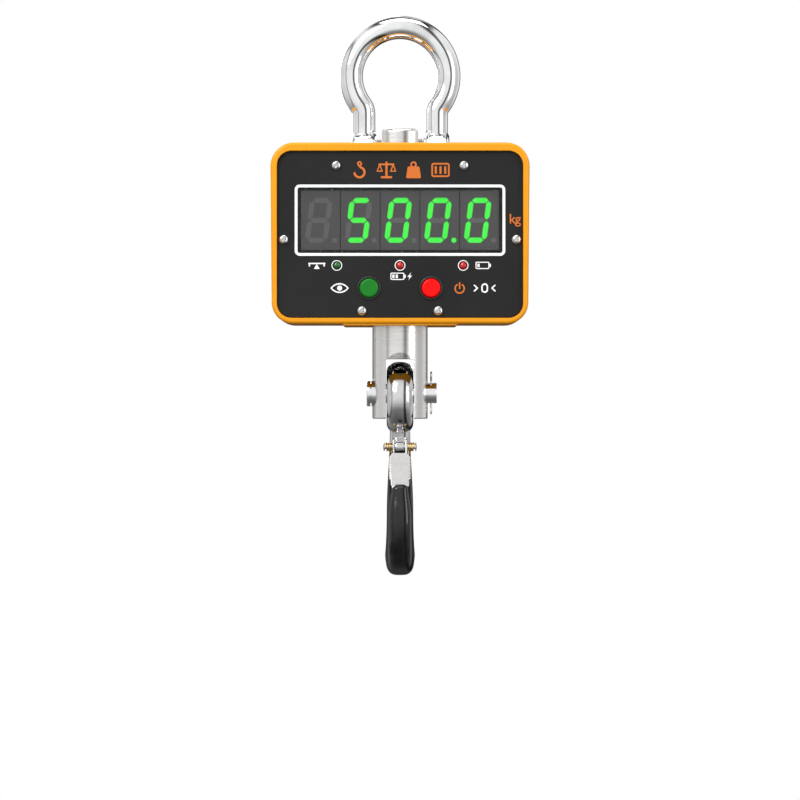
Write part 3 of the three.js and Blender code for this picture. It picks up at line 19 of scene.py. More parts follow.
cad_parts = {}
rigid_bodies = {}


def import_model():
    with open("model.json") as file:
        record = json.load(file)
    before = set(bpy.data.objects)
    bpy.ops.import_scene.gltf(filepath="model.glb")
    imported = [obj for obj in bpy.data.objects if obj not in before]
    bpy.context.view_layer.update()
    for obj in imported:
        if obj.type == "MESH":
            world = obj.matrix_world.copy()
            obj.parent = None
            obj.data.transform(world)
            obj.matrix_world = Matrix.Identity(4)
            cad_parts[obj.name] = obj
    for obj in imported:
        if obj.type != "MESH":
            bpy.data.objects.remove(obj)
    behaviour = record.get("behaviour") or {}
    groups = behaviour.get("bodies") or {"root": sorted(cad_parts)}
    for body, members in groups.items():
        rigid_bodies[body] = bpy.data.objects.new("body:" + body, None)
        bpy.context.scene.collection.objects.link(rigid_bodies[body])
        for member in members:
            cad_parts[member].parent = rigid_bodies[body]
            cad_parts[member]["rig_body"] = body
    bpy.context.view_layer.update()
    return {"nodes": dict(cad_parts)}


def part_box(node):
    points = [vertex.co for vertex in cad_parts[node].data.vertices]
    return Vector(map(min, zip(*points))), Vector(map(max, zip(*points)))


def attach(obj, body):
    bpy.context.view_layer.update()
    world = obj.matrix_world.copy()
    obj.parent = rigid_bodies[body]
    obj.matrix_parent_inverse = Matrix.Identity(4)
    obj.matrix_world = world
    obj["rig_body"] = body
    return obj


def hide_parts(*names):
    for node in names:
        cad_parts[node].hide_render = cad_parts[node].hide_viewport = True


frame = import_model()
log = logging.getLogger("crane_scale")

MM = 0.001
GAP = 0.3
SHARP = math.radians(32)

Point = tuple[float, float]
Place = tuple[float, float, float]
Reach = tuple[float, float]
Colour = tuple[float, float, float, float]


class Axis(Enum):
    """The line a round or flat piece is made along, with the turn that brings +Z onto it."""

    X = Matrix(((0, 0, 1), (1, 0, 0), (0, 1, 0)))
    Y = Matrix(((1, 0, 0), (0, 0, 1), (0, -1, 0)))
    Z = Matrix.Identity(3)

    def place(self, at: Place = (0, 0, 0)) -> Matrix:
        """The matrix that turns a piece made along +Z onto this axis and moves its origin to a place."""
        return Matrix.Translation(at) @ self.value.to_4x4()


class Body(Enum):
    """The moving bodies of the scale."""

    SHACKLE = "shackle"
    SCALE = "scale"
    HOOK = "hook"
    LATCH = "latch"
    VIEW_BUTTON = "view_button"
    POWER_BUTTON = "power_button"
    DOOR = "battery_door"
    THUMBSCREW = "thumbscrew"


class Join(Enum):
    """How one form meets another."""

    UNION = "UNION"
    CUT = "DIFFERENCE"
    COMMON = "INTERSECT"


# ---- Outlines -----------------------------------------------------------------------------


def arc(centre: Point, radius: float, start: float, end: float, steps: int = 12) -> list[Point]:
    """Points round an arc, from one angle in degrees to another, both ends included."""
    turns = [math.radians(start + (end - start) * i / steps) for i in range(steps + 1)]
    return [(centre[0] + radius * math.cos(t), centre[1] + radius * math.sin(t)) for t in turns]


def rounded(corners: Sequence[tuple[float, float, float]], steps: int = 8) -> list[Point]:
    """An outline whose corners are rounded.

    Args:
        corners: each corner's two coordinates and its radius.
        steps: chords in each rounded corner.

    Returns:
        The outline's points in order.
    """
    outline: list[Point] = []
    for i, (x, y, radius) in enumerate(corners):
        here = Vector((x, y))
        before = (Vector(corners[i - 1][:2]) - here).normalized()
        after = (Vector(corners[(i + 1) % len(corners)][:2]) - here).normalized()
        if radius <= 0:
            outline.append((x, y))
            continue
        half = before.angle(after) / 2
        middle = here + (before + after).normalized() * radius / math.sin(half)
        first = here + before * radius / math.tan(half) - middle
        last = here + after * radius / math.tan(half) - middle
        sweep = first.angle_signed(last)
        for step in range(steps + 1):
            turned = first.copy()
            turned.rotate(Matrix.Rotation(-sweep * step / steps, 2))
            outline.append(tuple(middle + turned))
    return outline


def rounded_box(width: float, height: float, radius: float, centre: Point = (0, 0)) -> list[Point]:
    """A rectangle with four equal round corners.

    Args:
        width: its width.
        height: its height.
        radius: the corners' radius.
        centre: its middle.

    Returns:
        The outline, anticlockwise.
    """
    x, y = centre
    w, h = width / 2, height / 2
    corners = [(x - w, y - h), (x + w, y - h), (x + w, y + h), (x - w, y + h)]
    return rounded([(*corner, radius) for corner in corners])


# ---- Forms --------------------------------------------------------------------------------


def baked(made: bpy.types.Object) -> bmesh.types.BMesh:
    """An object's mesh after its modifiers.

    Args:
        made: the object.

    Returns:
        A new bmesh.
    """
    bpy.context.view_layer.update()
    mesh = bmesh.new()
    mesh.from_mesh(made.evaluated_get(bpy.context.evaluated_depsgraph_get()).to_mesh())
    return mesh


class Form:
    """A closed mesh under construction, in millimetres."""

    def __init__(self, mesh: bmesh.types.BMesh) -> None:
        """Wraps a bmesh."""
        self.mesh = mesh

    @classmethod
    def turned(
        cls, profile: Sequence[Point], axis: Axis = Axis.Z, at: Place = (0, 0, 0), steps: int = 64
    ) -> "Form":
        """A turned piece.

        Args:
            profile: radius and height of each point, from axis to axis or closed on itself.
            axis: the line it is turned about.
            at: where the profile's origin goes.
            steps: faces round it.

        Returns:
            The closed form.
        """
        mesh = bmesh.new()
        corners = [mesh.verts.new((radius, 0, height)) for radius, height in profile]
        lines = [mesh.edges.new(pair) for pair in zip(corners, corners[1:], strict=False)]
        bmesh.ops.spin(
            mesh, geom=corners + lines, cent=(0, 0, 0), axis=(0, 0, 1), dvec=(0, 0, 0),
            angle=math.tau, steps=steps, use_merge=True, use_duplicate=False,
        )
        return cls(mesh)._closed(axis.place(at))

    @classmethod
    def rod(
        cls, diameter: float, axis: Axis, reach: Reach, at: Place = (0, 0, 0), edge: float = 0,
        steps: int = 48,
    ) -> "Form":
        """A round bar or disc, with rounded rims where edge is above 0.

        Args:
            diameter: its diameter.
            axis: the line it lies along.
            reach: its two ends on that line.
            at: a point on the line.
            edge: radius of the rims.
            steps: faces round it.

        Returns:
            The closed form.
        """
        radius = diameter / 2
        low, high = reach
        foot = arc((radius - edge, low + edge), edge, -90, 0, 4) if edge else [(radius, low)]
        rim = arc((radius - edge, high - edge), edge, 0, 90, 4) if edge else [(radius, high)]
        return cls.turned([(0, low), *foot, *rim, (0, high)], axis, at, steps)

    @classmethod
    def rods(cls, diameter: float, reach: Reach, places: Iterable[Point], steps: int = 48) -> list["Form"]:
        """Plain rods along Y, one at each X and Z."""
        return [cls.rod(diameter, Axis.Y, reach, (x, 0, z), steps=steps) for x, z in places]

    @classmethod
    def slab(cls, outline: Sequence[Point], axis: Axis, reach: Reach, at: Place = (0, 0, 0)) -> "Form":
        """A flat outline given thickness.

        Args:
            outline: points in the two other axes, in alphabetical order.
            axis: the line its thickness lies along.
            reach: its two faces on that line.
            at: where the outline's origin goes.

        Returns:
            The closed form.
        """
        mesh = bmesh.new()
        flat = [mesh.verts.new((u, v, 0)) for u, v in outline]
        face = mesh.faces.new(flat)
        grown = bmesh.ops.extrude_face_region(mesh, geom=[face])["geom"]
        tops = [v for v in grown if isinstance(v, bmesh.types.BMVert)]
        bmesh.ops.translate(mesh, verts=tops, vec=(0, 0, reach[1] - reach[0]))
        bmesh.ops.translate(mesh, verts=mesh.verts, vec=(0, 0, reach[0]))
        upright = Matrix(((1, 0, 0), (0, 0, 1), (0, 1, 0))).to_4x4()
        place = Matrix.Translation(at) @ upright if axis is Axis.Y else axis.place(at)
        return cls(mesh)._closed(place)

    @classmethod
    def block(cls, x: Reach, y: Reach, z: Reach) -> "Form":
        """A box between two values on each axis.

        Args:
            x: its reach in X.
            y: its reach in Y.
            z: its reach in Z.

        Returns:
            The form.
        """
        mesh = bmesh.new()
        size = Matrix.Diagonal((x[1] - x[0], y[1] - y[0], z[1] - z[0], 1))
        middle = Matrix.Translation(((x[0] + x[1]) / 2, (y[0] + y[1]) / 2, (z[0] + z[1]) / 2))
        bmesh.ops.create_cube(mesh, size=1, matrix=middle @ size)
        return cls(mesh)

    @classmethod
    def swept(
        cls, stations: Sequence[Matrix], shape: float | Callable[[int, float], Point], sides: int = 32
    ) -> "Form":
        """A bar along a row of stations, each a matrix whose X and Y span its section.

        Args:
            stations: where each section lies.
            shape: the radius, or a rule from station number and angle to a point of the section.
            sides: points round each section.

        Returns:
            The closed form.
        """
        mesh = bmesh.new()
        rings = []
        for number, station in enumerate(stations):
            ring = bmesh.ops.create_circle(mesh, cap_ends=False, radius=1, segments=sides)["verts"]
            for vert in ring:
                turn = math.atan2(vert.co.y, vert.co.x)
                if callable(shape):
                    vert.co = (*shape(number, turn), 0)
                else:
                    vert.co = vert.co * shape
            bmesh.ops.transform(mesh, matrix=station, verts=ring)
            rings.append(ring)
        loops = [list({edge for vert in ring for edge in vert.link_edges}) for ring in rings]
        for first, second in zip(loops, loops[1:], strict=False):
            bmesh.ops.bridge_loops(mesh, edges=first + second)
        for loop in (loops[0], loops[-1]):
            bmesh.ops.edgeloop_fill(mesh, edges=loop)
        return cls(mesh)._closed(Matrix.Identity(4))

    def _closed(self, matrix: Matrix) -> "Form":
        """Closes seams and poles, points the faces outwards and puts the form in place.

        Args:
            matrix: where the form goes.

        Returns:
            The form.
        """
        bmesh.ops.remove_doubles(self.mesh, verts=self.mesh.verts, dist=1e-4)
        bmesh.ops.transform(self.mesh, matrix=matrix, verts=self.mesh.verts)
        bmesh.ops.recalc_face_normals(self.mesh, faces=self.mesh.faces)
        return self

    def copy(self) -> "Form":
        """A second form with the same shape."""
        return Form(self.mesh.copy())

    def moved(self, matrix: Matrix) -> "Form":
        """The form turned, moved or mirrored by a matrix.

        Args:
            matrix: where the form goes.

        Returns:
            The form.
        """
        bmesh.ops.transform(self.mesh, matrix=matrix, verts=self.mesh.verts)
        bmesh.ops.recalc_face_normals(self.mesh, faces=self.mesh.faces)
        return self

    def edged(
        self, width: float, segments: int = 3, where: Callable[[Vector], bool] | None = None
    ) -> "Form":
        """Rounds the sharp edges.

        Args:
            width: how far the rounding reaches from each edge.
            segments: faces across it.
            where: which edges, by their middle; all sharp ones if it is left out.

        Returns:
            The same form.
        """
        sharp = [
            edge
            for edge in self.mesh.edges
            if len(edge.link_faces) == 2
            and edge.calc_face_angle(0) > SHARP
            and (where is None or where((edge.verts[0].co + edge.verts[1].co) / 2))
        ]
        bmesh.ops.bevel(
            self.mesh, geom=sharp, offset=width, segments=segments, affect="EDGES", profile=0.5,
            material=-1, clamp_overlap=True,
        )
        return self

    def _combined(self, others: Iterable["Form"], how: Join) -> "Form":
        """Joins others to this form, or cuts them out, with Boolean modifiers.

        Args:
            others: the other forms.
            how: the Boolean operation.

        Returns:
            The form.
        """
        body = self.as_object("body")
        tools = [other.as_object("tool") for other in others]
        for tool in tools:
            step = body.modifiers.new("step", "BOOLEAN")
            step.solver = "MANIFOLD"
            step.operation = how.value
            step.object = tool
        self.mesh = baked(body)
        for used in (body, *tools):
            bpy.data.meshes.remove(used.data)
        return self

    def join(self, *others: "Form") -> "Form":
        """This form joined to others."""
        return self._combined(others, Join.UNION)

    def cut(self, *others: "Form") -> "Form":
        """This form with others cut out of it."""
        return self._combined(others, Join.CUT)

    def common(self, *others: "Form") -> "Form":
        """What this form shares with others."""
        return self._combined(others, Join.COMMON)

    def beside(self, *others: "Form") -> "Form":
        """This form and others in one mesh, each left closed by itself.

        Args:
            others: the other forms.

        Returns:
            The form.
        """
        for other in others:
            loose = bpy.data.meshes.new("loose")
            other.mesh.to_mesh(loose)
            self.mesh.from_mesh(loose)
            bpy.data.meshes.remove(loose)
        return self

    def painted(self, index: int, where: Callable[[Vector], bool] | None = None) -> "Form":
        """Gives faces the finish with that number: all of them, or those whose middle passes.

        Args:
            index: the finish's number.
            where: which faces, by their middle; all of them if it is left out.

        Returns:
            The form.
        """
        for face in self.mesh.faces:
            if where is None or where(face.calc_center_median()):
                face.material_index = index
        return self

    def as_object(self, name: str) -> bpy.types.Object:
        """The form as an object in the scene, still in millimetres.

        Args:
            name: the object's name.

        Returns:
            The object.
        """
        data = bpy.data.meshes.new(name)
        self.mesh.to_mesh(data)
        made = bpy.data.objects.new(name, data)
        bpy.context.scene.collection.objects.link(made)
        return made

    def remeshed(self, voxel: float, smoothing: int) -> "Form":
        """Melts the form's joints together, as a forging's are.

        Args:
            voxel: size of the new faces.
            smoothing: passes of smoothing after it.

        Returns:
            The same form.
        """
        body = self.as_object("body")
        melt = body.modifiers.new("melt", "REMESH")
        melt.mode = "VOXEL"
        melt.voxel_size = voxel
        ease = body.modifiers.new("ease", "SMOOTH")
        ease.factor = 0.5
        ease.iterations = smoothing
        self.mesh = baked(body)
        bpy.data.meshes.remove(body.data)
        return self


@dataclass
class Piece:
    """A finished piece of the scale, ready to ride on its body."""

    name: str
    form: Form
    finish: "Finish"
    body: Body
    nodes: tuple[str, ...] = ()
    others: tuple["Finish", ...] = ()
    smooth: float = SHARP

    def place(self) -> bpy.types.Object:
        """Scales the form to metres, dresses it and hands it to the frame.

        Returns:
            The object that shows.
        """
        bmesh.ops.scale(self.form.mesh, vec=(MM, MM, MM), verts=self.form.mesh.verts)
        made = self.form.as_object(self.name)
        made.data.polygons.foreach_set("use_smooth", [True] * len(made.data.polygons))
        made.data.set_sharp_from_angle(angle=self.smooth)
        for finish in (self.finish, *self.others):
            made.data.materials.append(finish.material())
        even = made.modifiers.new("even", "WEIGHTED_NORMAL")
        even.keep_sharp = True
        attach(made, self.body.value)
        if self.nodes:
            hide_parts(*self.nodes)
        log.info("%s: %d faces", self.name, len(made.data.polygons))
        return made


# ---- Shader language ----------------------------------------------------------------------


class Value:
    """A shader socket; arithmetic on it adds Math nodes."""

    def __init__(self, nodes: "Nodes", socket: bpy.types.NodeSocket) -> None:
        """Wraps an output socket."""
        self.nodes = nodes
        self.socket = socket

    def math(self, operation: str, *others: "Value | float") -> "Value":
        """This value and others through one Math node."""
        return self.nodes.node("ShaderNodeMath", {"operation": operation}, [self, *others])

    def __add__(self, other: "Value | float") -> "Value":
        """self + other."""
        return self.math("ADD", other)

    def __radd__(self, other: float) -> "Value":
        """other + self."""
        return self.math("ADD", other)

    def __mul__(self, other: "Value | float") -> "Value":
        """self * other."""
        return self.math("MULTIPLY", other)

    def __rmul__(self, other: float) -> "Value":
        """other * self."""
        return self.math("MULTIPLY", other)

    def __sub__(self, other: "Value | float") -> "Value":
        """self - other."""
        return self.math("SUBTRACT", other)

    def __rsub__(self, other: float) -> "Value":
        """other - self."""
        return self.nodes.node("ShaderNodeMath", {"operation": "SUBTRACT"}, [other, self])

    def above(self, low: float, high: float) -> "Value":
        """A mask that rises from 0 at low to 1 at high."""
        return self.nodes.node(
            "ShaderNodeMapRange", {"interpolation_type": "SMOOTHSTEP"}, [self, low, high, 0.0, 1.0])


class Nodes:
    """A node tree under construction."""

    def __init__(self, tree: bpy.types.NodeTree) -> None:
        """Takes a material's or the world's tree."""
        self.tree = tree

    def node(
        self,
        kind: str,
        settings: dict[str, object] | None = None,
        inputs: Sequence[object] | dict[str | int, object] = (),
        output: str | int = 0,
    ) -> Value:
        """Adds a node.

        Args:
            kind: the node's type.
            settings: its own settings, or "stops" for a ramp's places and colours.
            inputs: what its sockets get, in their order or by name.
            output: the output socket that is wanted.

        Returns:
            That output.
        """
        made = self.tree.nodes.new(kind)
        for key, setting in (settings or {}).items():
            if key == "stops":
                ramp = made.color_ramp.elements
                while len(ramp) < len(setting):
                    ramp.new(0.5)
                for element, (position, colour) in zip(ramp, setting, strict=True):
                    element.position = position
                    element.color = colour
            else:
                setattr(made, key, setting)
        pairs = inputs.items() if isinstance(inputs, dict) else enumerate(inputs)
        for socket, given in pairs:
            self.feed(made.inputs[socket], given)
        return Value(self, made.outputs[output])

    def feed(self, socket: bpy.types.NodeSocket, given: object) -> None:
        """Links a value to a socket, or sets the socket to a constant.

        Args:
            socket: the socket to fill.
            given: a value or a constant.
        """
        if isinstance(given, Value):
            self.tree.links.new(given.socket, socket)
        else:
            socket.default_value = given


class Recipe(Nodes):
    """One material under construction: a Principled surface and what feeds it."""

    def __init__(self, name: str) -> None:
        """Makes the material with an empty Principled surface.

        Args:
            name: the material's name.
        """
        self.material = bpy.data.materials.new(name)
        self.material.use_nodes = True
        super().__init__(self.material.node_tree)
        self.surface = self.tree.nodes["Principled BSDF"]
        self.places = self.node("ShaderNodeTexCoord", output="Object")

    def surfaces(self, **sockets: object) -> None:
        """Sets or links the surface's sockets, by their names with underscores for spaces."""
        for name, given in sockets.items():
            self.feed(self.surface.inputs[name.replace("_", " ")], given)

    def grain(
        self, size: float, stretch: Place = (1, 1, 1), detail: float = 3, rough: float = 0.55
    ) -> Value:
        """Noise about 0.5, of a size in millimetres, made longer along each axis by stretch.

        Args:
            size: how large the grains are, in millimetres.
            stretch: how much longer they are along each axis.
            detail: how many octaves it has.
            rough: the share of the fine octaves.

        Returns:
            The value.
        """
        squeeze = tuple(1 / s for s in stretch)
        spread = self.node("ShaderNodeMapping", {}, {0: self.places, "Scale": squeeze})
        inputs = {"Vector": spread, "Scale": 1 / (size * MM), "Detail": detail, "Roughness": rough}
        return self.node("ShaderNodeTexNoise", {}, inputs)

    def cells(self, size: float, feature: str = "F1") -> Value:
        """Voronoi cells of a size in millimetres."""
        inputs = {"Vector": self.places, "Scale": 1 / (size * MM)}
        return self.node("ShaderNodeTexVoronoi", {"feature": feature}, inputs)

    def along(self, axis: str) -> Value:
        """The coordinate along X, Y or Z in millimetres."""
        return self.node("ShaderNodeSeparateXYZ", {}, [self.places], axis) * (1 / MM)

    def blend(self, mask: Value, low: Colour | Value, high: Colour | Value) -> Value:
        """Colour low where the mask is 0 and high where it is 1."""
        return self.node("ShaderNodeMix", {"data_type": "RGBA"}, {0: mask, 6: low, 7: high}, 2)

    def relief(self, *layers: tuple[Value, float]) -> Value:
        """A normal bumped by heights.

        Args:
            layers: each height with how deep it is, in millimetres.

        Returns:
            The normal.
        """
        normal = None
        for height, depth in layers:
            inputs = {"Height": height, "Distance": depth * MM, "Strength": 1.0}
            if normal is not None:
                inputs["Normal"] = normal
            normal = self.node("ShaderNodeBump", {}, inputs)
        return normal


def grey(level: float) -> Colour:
    """A neutral colour."""
    return (level, level, level, 1.0)


# ---- Finishes -----------------------------------------------------------------------------


@dataclass(frozen=True)
class Finish:
    """What a surface is made of, and the record's slot it belongs to."""

    name: str
    slot: str

    def material(self) -> bpy.types.Material:
        """The finish's material, made once.

        Returns:
            The material.
        """
        found = bpy.data.materials.get(self.name)
        if found:
            return found
        recipe = Recipe(self.name)
        self.dress(recipe)
        return recipe.material

    def dress(self, recipe: Recipe) -> None:
        """Fills in the recipe; each finish has its own way."""
        raise NotImplementedError


@dataclass(frozen=True)
class PolishedMetal(Finish):
    """Mirror-polished or bright metal, with faint buffing marks and a few fine scratches."""

    tint: Colour = (0.78, 0.79, 0.80, 1.0)
    roughness: float = 0.06
    waviness: float = 0.004

    def dress(self, recipe: Recipe) -> None:
        """Fills in the recipe.

        Args:
            recipe: the material's recipe.
        """
        cloud = recipe.grain(14, detail=2)
        buffing = recipe.grain(0.6, (1, 6, 1), detail=4)
        scratch = recipe.grain(1.2, (12, 1, 1.5), detail=2, rough=0.7).above(0.68, 0.8)
        dull = tuple(0.82 * c for c in self.tint[:3]) + (1.0,)
        recipe.surfaces(
            Metallic=1.0,
            Base_Color=recipe.blend(cloud.above(0.35, 0.75), self.tint, dull),
            Roughness=self.roughness + 0.05 * cloud * buffing + 0.12 * scratch,
            Normal=recipe.relief((recipe.grain(9, detail=1), self.waviness * 9), (buffing, self.waviness)),
        )


@dataclass(frozen=True)
class TurnedSteel(Finish):
    """Stainless steel with fine tool marks round it and a satin polish over them."""

    tint: Colour = (0.70, 0.69, 0.675, 1.0)
    roughness: float = 0.22
    marks: Place = (40, 40, 1)
    depth: float = 0.012

    def dress(self, recipe: Recipe) -> None:
        """Fills in the recipe.

        Args:
            recipe: the material's recipe.
        """
        tool_marks = recipe.grain(0.35, self.marks, detail=3, rough=0.6)
        stain = recipe.grain(18, detail=4)
        bright = tuple(min(1.0, 1.15 * c) for c in self.tint[:3]) + (1.0,)
        recipe.surfaces(
            Metallic=1.0,
            Base_Color=recipe.blend(tool_marks.above(0.3, 0.7), self.tint, bright),
            Roughness=self.roughness + 0.10 * (stain - 0.5) + 0.08 * (tool_marks - 0.5),
            Normal=recipe.relief((tool_marks, self.depth)),
        )


@dataclass(frozen=True)
class ForgedHook(Finish):
    """The hook: bright plated eye above; the forged bowl below is given a glossy near-black colour that is
    painted dark reflection.
    """

    # Height in Z below which the bowl carries the painted dark reflection.
    painted_reflection_top: float = -283.0

    def dress(self, recipe: Recipe) -> None:
        """Fills in the recipe.

        Args:
            recipe: the material's recipe.
        """
        ragged = recipe.grain(5, detail=3)
        bright = (recipe.along("Z") + 5 * (ragged - 0.5)).above(self.painted_reflection_top - 1.2, self.painted_reflection_top + 1.2)
        hammered = recipe.grain(7, detail=1)
        pits = recipe.grain(0.5, detail=3)
        chrome = recipe.blend(hammered.above(0.3, 0.7), grey(0.72), grey(0.60))
        # Near-black bowl colour: painted dark reflection of dark surroundings the scene lacks, not a real
        # coat of paint.
        paint = recipe.blend(hammered.above(0.35, 0.7), grey(0.006), grey(0.014))
        recipe.surfaces(
            Base_Color=recipe.blend(bright, paint, chrome),
            Metallic=bright,
            Roughness=0.16 - 0.07 * bright + 0.06 * (pits - 0.5),
            Normal=recipe.relief((hammered * (1 - 0.75 * bright), 0.12), (pits, 0.006)),
            Coat_Weight=(1 - bright) * 0.3,
            Coat_Roughness=0.06,
            Specular_IOR_Level=0.3,
        )


@dataclass(frozen=True)
class CastingPaint(Finish):
    """Glossy orange paint with a fine orange peel and a few specks of dust."""

    colour: Colour = (0.80, 0.315, 0.0, 1.0)
    shade: Colour = (0.76, 0.288, 0.0, 1.0)

    def dress(self, recipe: Recipe) -> None:
        """Fills in the recipe.

        Args:
            recipe: the material's recipe.
        """
        cloud = recipe.grain(45, detail=3)
        peel = recipe.grain(1.3, detail=2, rough=0.4)
        dust = recipe.grain(0.35, detail=3).above(0.66, 0.78)
        painted = recipe.blend(cloud.above(0.3, 0.7), self.colour, self.shade)
        recipe.surfaces(
            Base_Color=recipe.blend(dust * 0.10, painted, (0.55, 0.42, 0.25, 1.0)),
            Roughness=0.32 + 0.08 * (cloud - 0.5) + 0.12 * dust,
            Normal=recipe.relief((peel, 0.022)),
            Coat_Weight=0.18,
            Coat_Roughness=0.09,
            Specular_IOR_Level=0.25,
        )


@dataclass(frozen=True)
class Moulded(Finish):
    """Moulded plastic or rubber with a spark-eroded grain."""

    colour: Colour = grey(0.012)
    roughness: float = 0.45
    grain: float = 0.25
    depth: float = 0.01
    fleck: float = 0.25
    coat: float = 0.0
    shine: float = 0.5

    def dress(self, recipe: Recipe) -> None:
        """Fills in the recipe.

        Args:
            recipe: the material's recipe.
        """
        fine = recipe.grain(self.grain, detail=3)
        cloud = recipe.grain(12, detail=3)
        pale = tuple(min(1.0, c * (1 + self.fleck) + 0.02 * self.fleck) for c in self.colour[:3]) + (1.0,)
        mottle = (0.6 * fine + 0.4 * cloud).above(0.35, 0.7)
        recipe.surfaces(
            Base_Color=recipe.blend(mottle, self.colour, pale),
            Roughness=self.roughness + 0.10 * (cloud - 0.5) + 0.08 * (fine - 0.5),
            Normal=recipe.relief((fine, self.depth)),
            Coat_Weight=self.coat,
            Coat_Roughness=0.08,
            Specular_IOR_Level=self.shine,
        )


@dataclass(frozen=True)
class PrintedFoil(Finish):
    """The panel's charcoal foil, matt and finely speckled."""

    colour: Colour = grey(0.0075)

    def dress(self, recipe: Recipe) -> None:
        """Fills in the recipe.

        Args:
            recipe: the material's recipe.
        """
        speck = recipe.grain(0.22, detail=2, rough=0.7)
        cloud = recipe.grain(60, detail=2)
        flecks = speck.above(0.6, 0.75)
        base = recipe.blend(cloud.above(0.3, 0.7), self.colour, grey(0.011))
        recipe.surfaces(
            Base_Color=recipe.blend(flecks * 0.35, base, grey(0.05)),
            Roughness=0.50 + 0.12 * (speck - 0.5),
            Normal=recipe.relief((speck, 0.012)),
            Specular_IOR_Level=0.22,
        )


@dataclass(frozen=True)
class SmokedWindow(Finish):
    """The clear window in front of the digits, lightly smoked."""

    def dress(self, recipe: Recipe) -> None:
        """Fills in the recipe."""
        smear = recipe.grain(22, (1, 1, 2.5), detail=4)
        recipe.surfaces(
            Base_Color=recipe.blend(smear, grey(0.006), grey(0.012)),
            Roughness=0.05 + 0.06 * smear.above(0.5, 0.8),
            Alpha=0.16 + 0.05 * smear,
            Normal=recipe.relief((recipe.grain(30, detail=1), 0.01)),
        )


@dataclass(frozen=True)
class Glow(Finish):
    """A lit segment: green light, slightly uneven."""

    colour: Colour = (0.028, 0.96, 0.036, 1.0)
    strength: float = 1.3

    def dress(self, recipe: Recipe) -> None:
        """Fills in the recipe.

        Args:
            recipe: the material's recipe.
        """
        cloud = recipe.grain(3, detail=2)
        paler = (0.045, 1.0, 0.055, 1.0)
        recipe.surfaces(
            Base_Color=recipe.blend(cloud, grey(0.05), (0.05, 0.2, 0.05, 1.0)),
            Emission_Color=recipe.blend(cloud.above(0.4, 0.7), self.colour, paler),
            Emission_Strength=self.strength,
            Roughness=0.4 + 0.1 * cloud,
        )


@dataclass(frozen=True)
class LampLens(Finish):
    """A coloured lamp's lens: glossy tinted resin with a bright core."""

    colour: Colour = (0.30, 0.004, 0.006, 1.0)
    core: Colour = (0.9, 0.05, 0.05, 1.0)

    def dress(self, recipe: Recipe) -> None:
        """Fills in the recipe."""
        cloud = recipe.grain(1.6, detail=2)
        recipe.surfaces(
            Base_Color=recipe.blend(cloud.above(0.35, 0.7), self.colour, self.core),
            Emission_Color=recipe.blend(cloud, self.colour, self.core),
            Emission_Strength=0.18,
            Roughness=0.12 + 0.08 * cloud,
            Coat_Weight=0.6,
            Coat_Roughness=0.04,
        )


@dataclass(frozen=True)
class Ink(Finish):
    """Screen-printed ink, slightly uneven, with a faint painted glow that brightens it under any light."""

    colour: Colour = grey(0.85)
    painted_glow: float = 0.0

    def dress(self, recipe: Recipe) -> None:
        """Fills in the recipe.

        Args:
            recipe: the material's recipe.
        """
        film = recipe.grain(0.5, detail=3)
        thin = tuple(0.88 * c for c in self.colour[:3]) + (1.0,)
        recipe.surfaces(
            Base_Color=recipe.blend(film.above(0.35, 0.7), self.colour, thin),
            Roughness=0.42 + 0.12 * (film - 0.5),
            Normal=recipe.relief((film, 0.006)),
            # Painted glow: the ink emits its own colour, though it is no lamp.
            Emission_Color=self.colour,
            Emission_Strength=self.painted_glow,
        )


@dataclass(frozen=True)
class CircuitBoard(Finish):
    """Green solder mask over copper tracks, with tinned pads."""

    def dress(self, recipe: Recipe) -> None:
        """Fills in the recipe.

        Args:
            recipe: the material's recipe.
        """
        weave = recipe.grain(0.8, (1, 1, 6), detail=2)
        tracks = recipe.cells(5, "DISTANCE_TO_EDGE").above(0.09, 0.05)
        pads = recipe.cells(3.2).above(0.16, 0.12)
        mask = recipe.blend(tracks, (0.006, 0.075, 0.022, 1.0), (0.014, 0.14, 0.045, 1.0))
        recipe.surfaces(
            Base_Color=recipe.blend(pads, mask, (0.62, 0.60, 0.55, 1.0)),
            Metallic=pads * 0.9,
            Roughness=0.34 + 0.10 * (weave - 0.5),
            Normal=recipe.relief((tracks, 0.03), (pads, 0.05)),
            Coat_Weight=(1 - pads) * 0.3,
        )


@dataclass(frozen=True)
class ShrinkWrap(Finish):
    """Blue shrink film over the cells of the battery pack, with its seams and wrinkles."""

    def dress(self, recipe: Recipe) -> None:
        """Fills in the recipe.

        Args:
            recipe: the material's recipe.
        """
        wrinkle = recipe.grain(3, (6, 1, 1), detail=3)
        seam = recipe.cells(24, "DISTANCE_TO_EDGE").above(0.03, 0.01)
        film = recipe.blend(wrinkle.above(0.35, 0.7), (0.010, 0.045, 0.20, 1.0), (0.014, 0.060, 0.27, 1.0))
        recipe.surfaces(
            Base_Color=recipe.blend(seam, film, (0.006, 0.02, 0.10, 1.0)),
            Roughness=0.26 + 0.10 * wrinkle,
            Normal=recipe.relief((wrinkle, 0.12), (seam, 0.08)),
        )


CHROME = PolishedMetal("mirror_chrome", "chrome", (0.92, 0.925, 0.93, 1.0))
BRIGHT = PolishedMetal("zinc_plate", "bright_steel", (0.66, 0.665, 0.67, 1.0), 0.17, 0.006)
BRASS = PolishedMetal("gilt_spring_wire", "spring_brass", (0.80, 0.52, 0.20, 1.0), 0.16, 0.004)
SATIN = TurnedSteel("turned_stainless", "satin_steel")
PRESSED = TurnedSteel("pressed_steel", "satin_steel", (0.47, 0.46, 0.455, 1.0), 0.30, (8, 8, 1), 0.003)
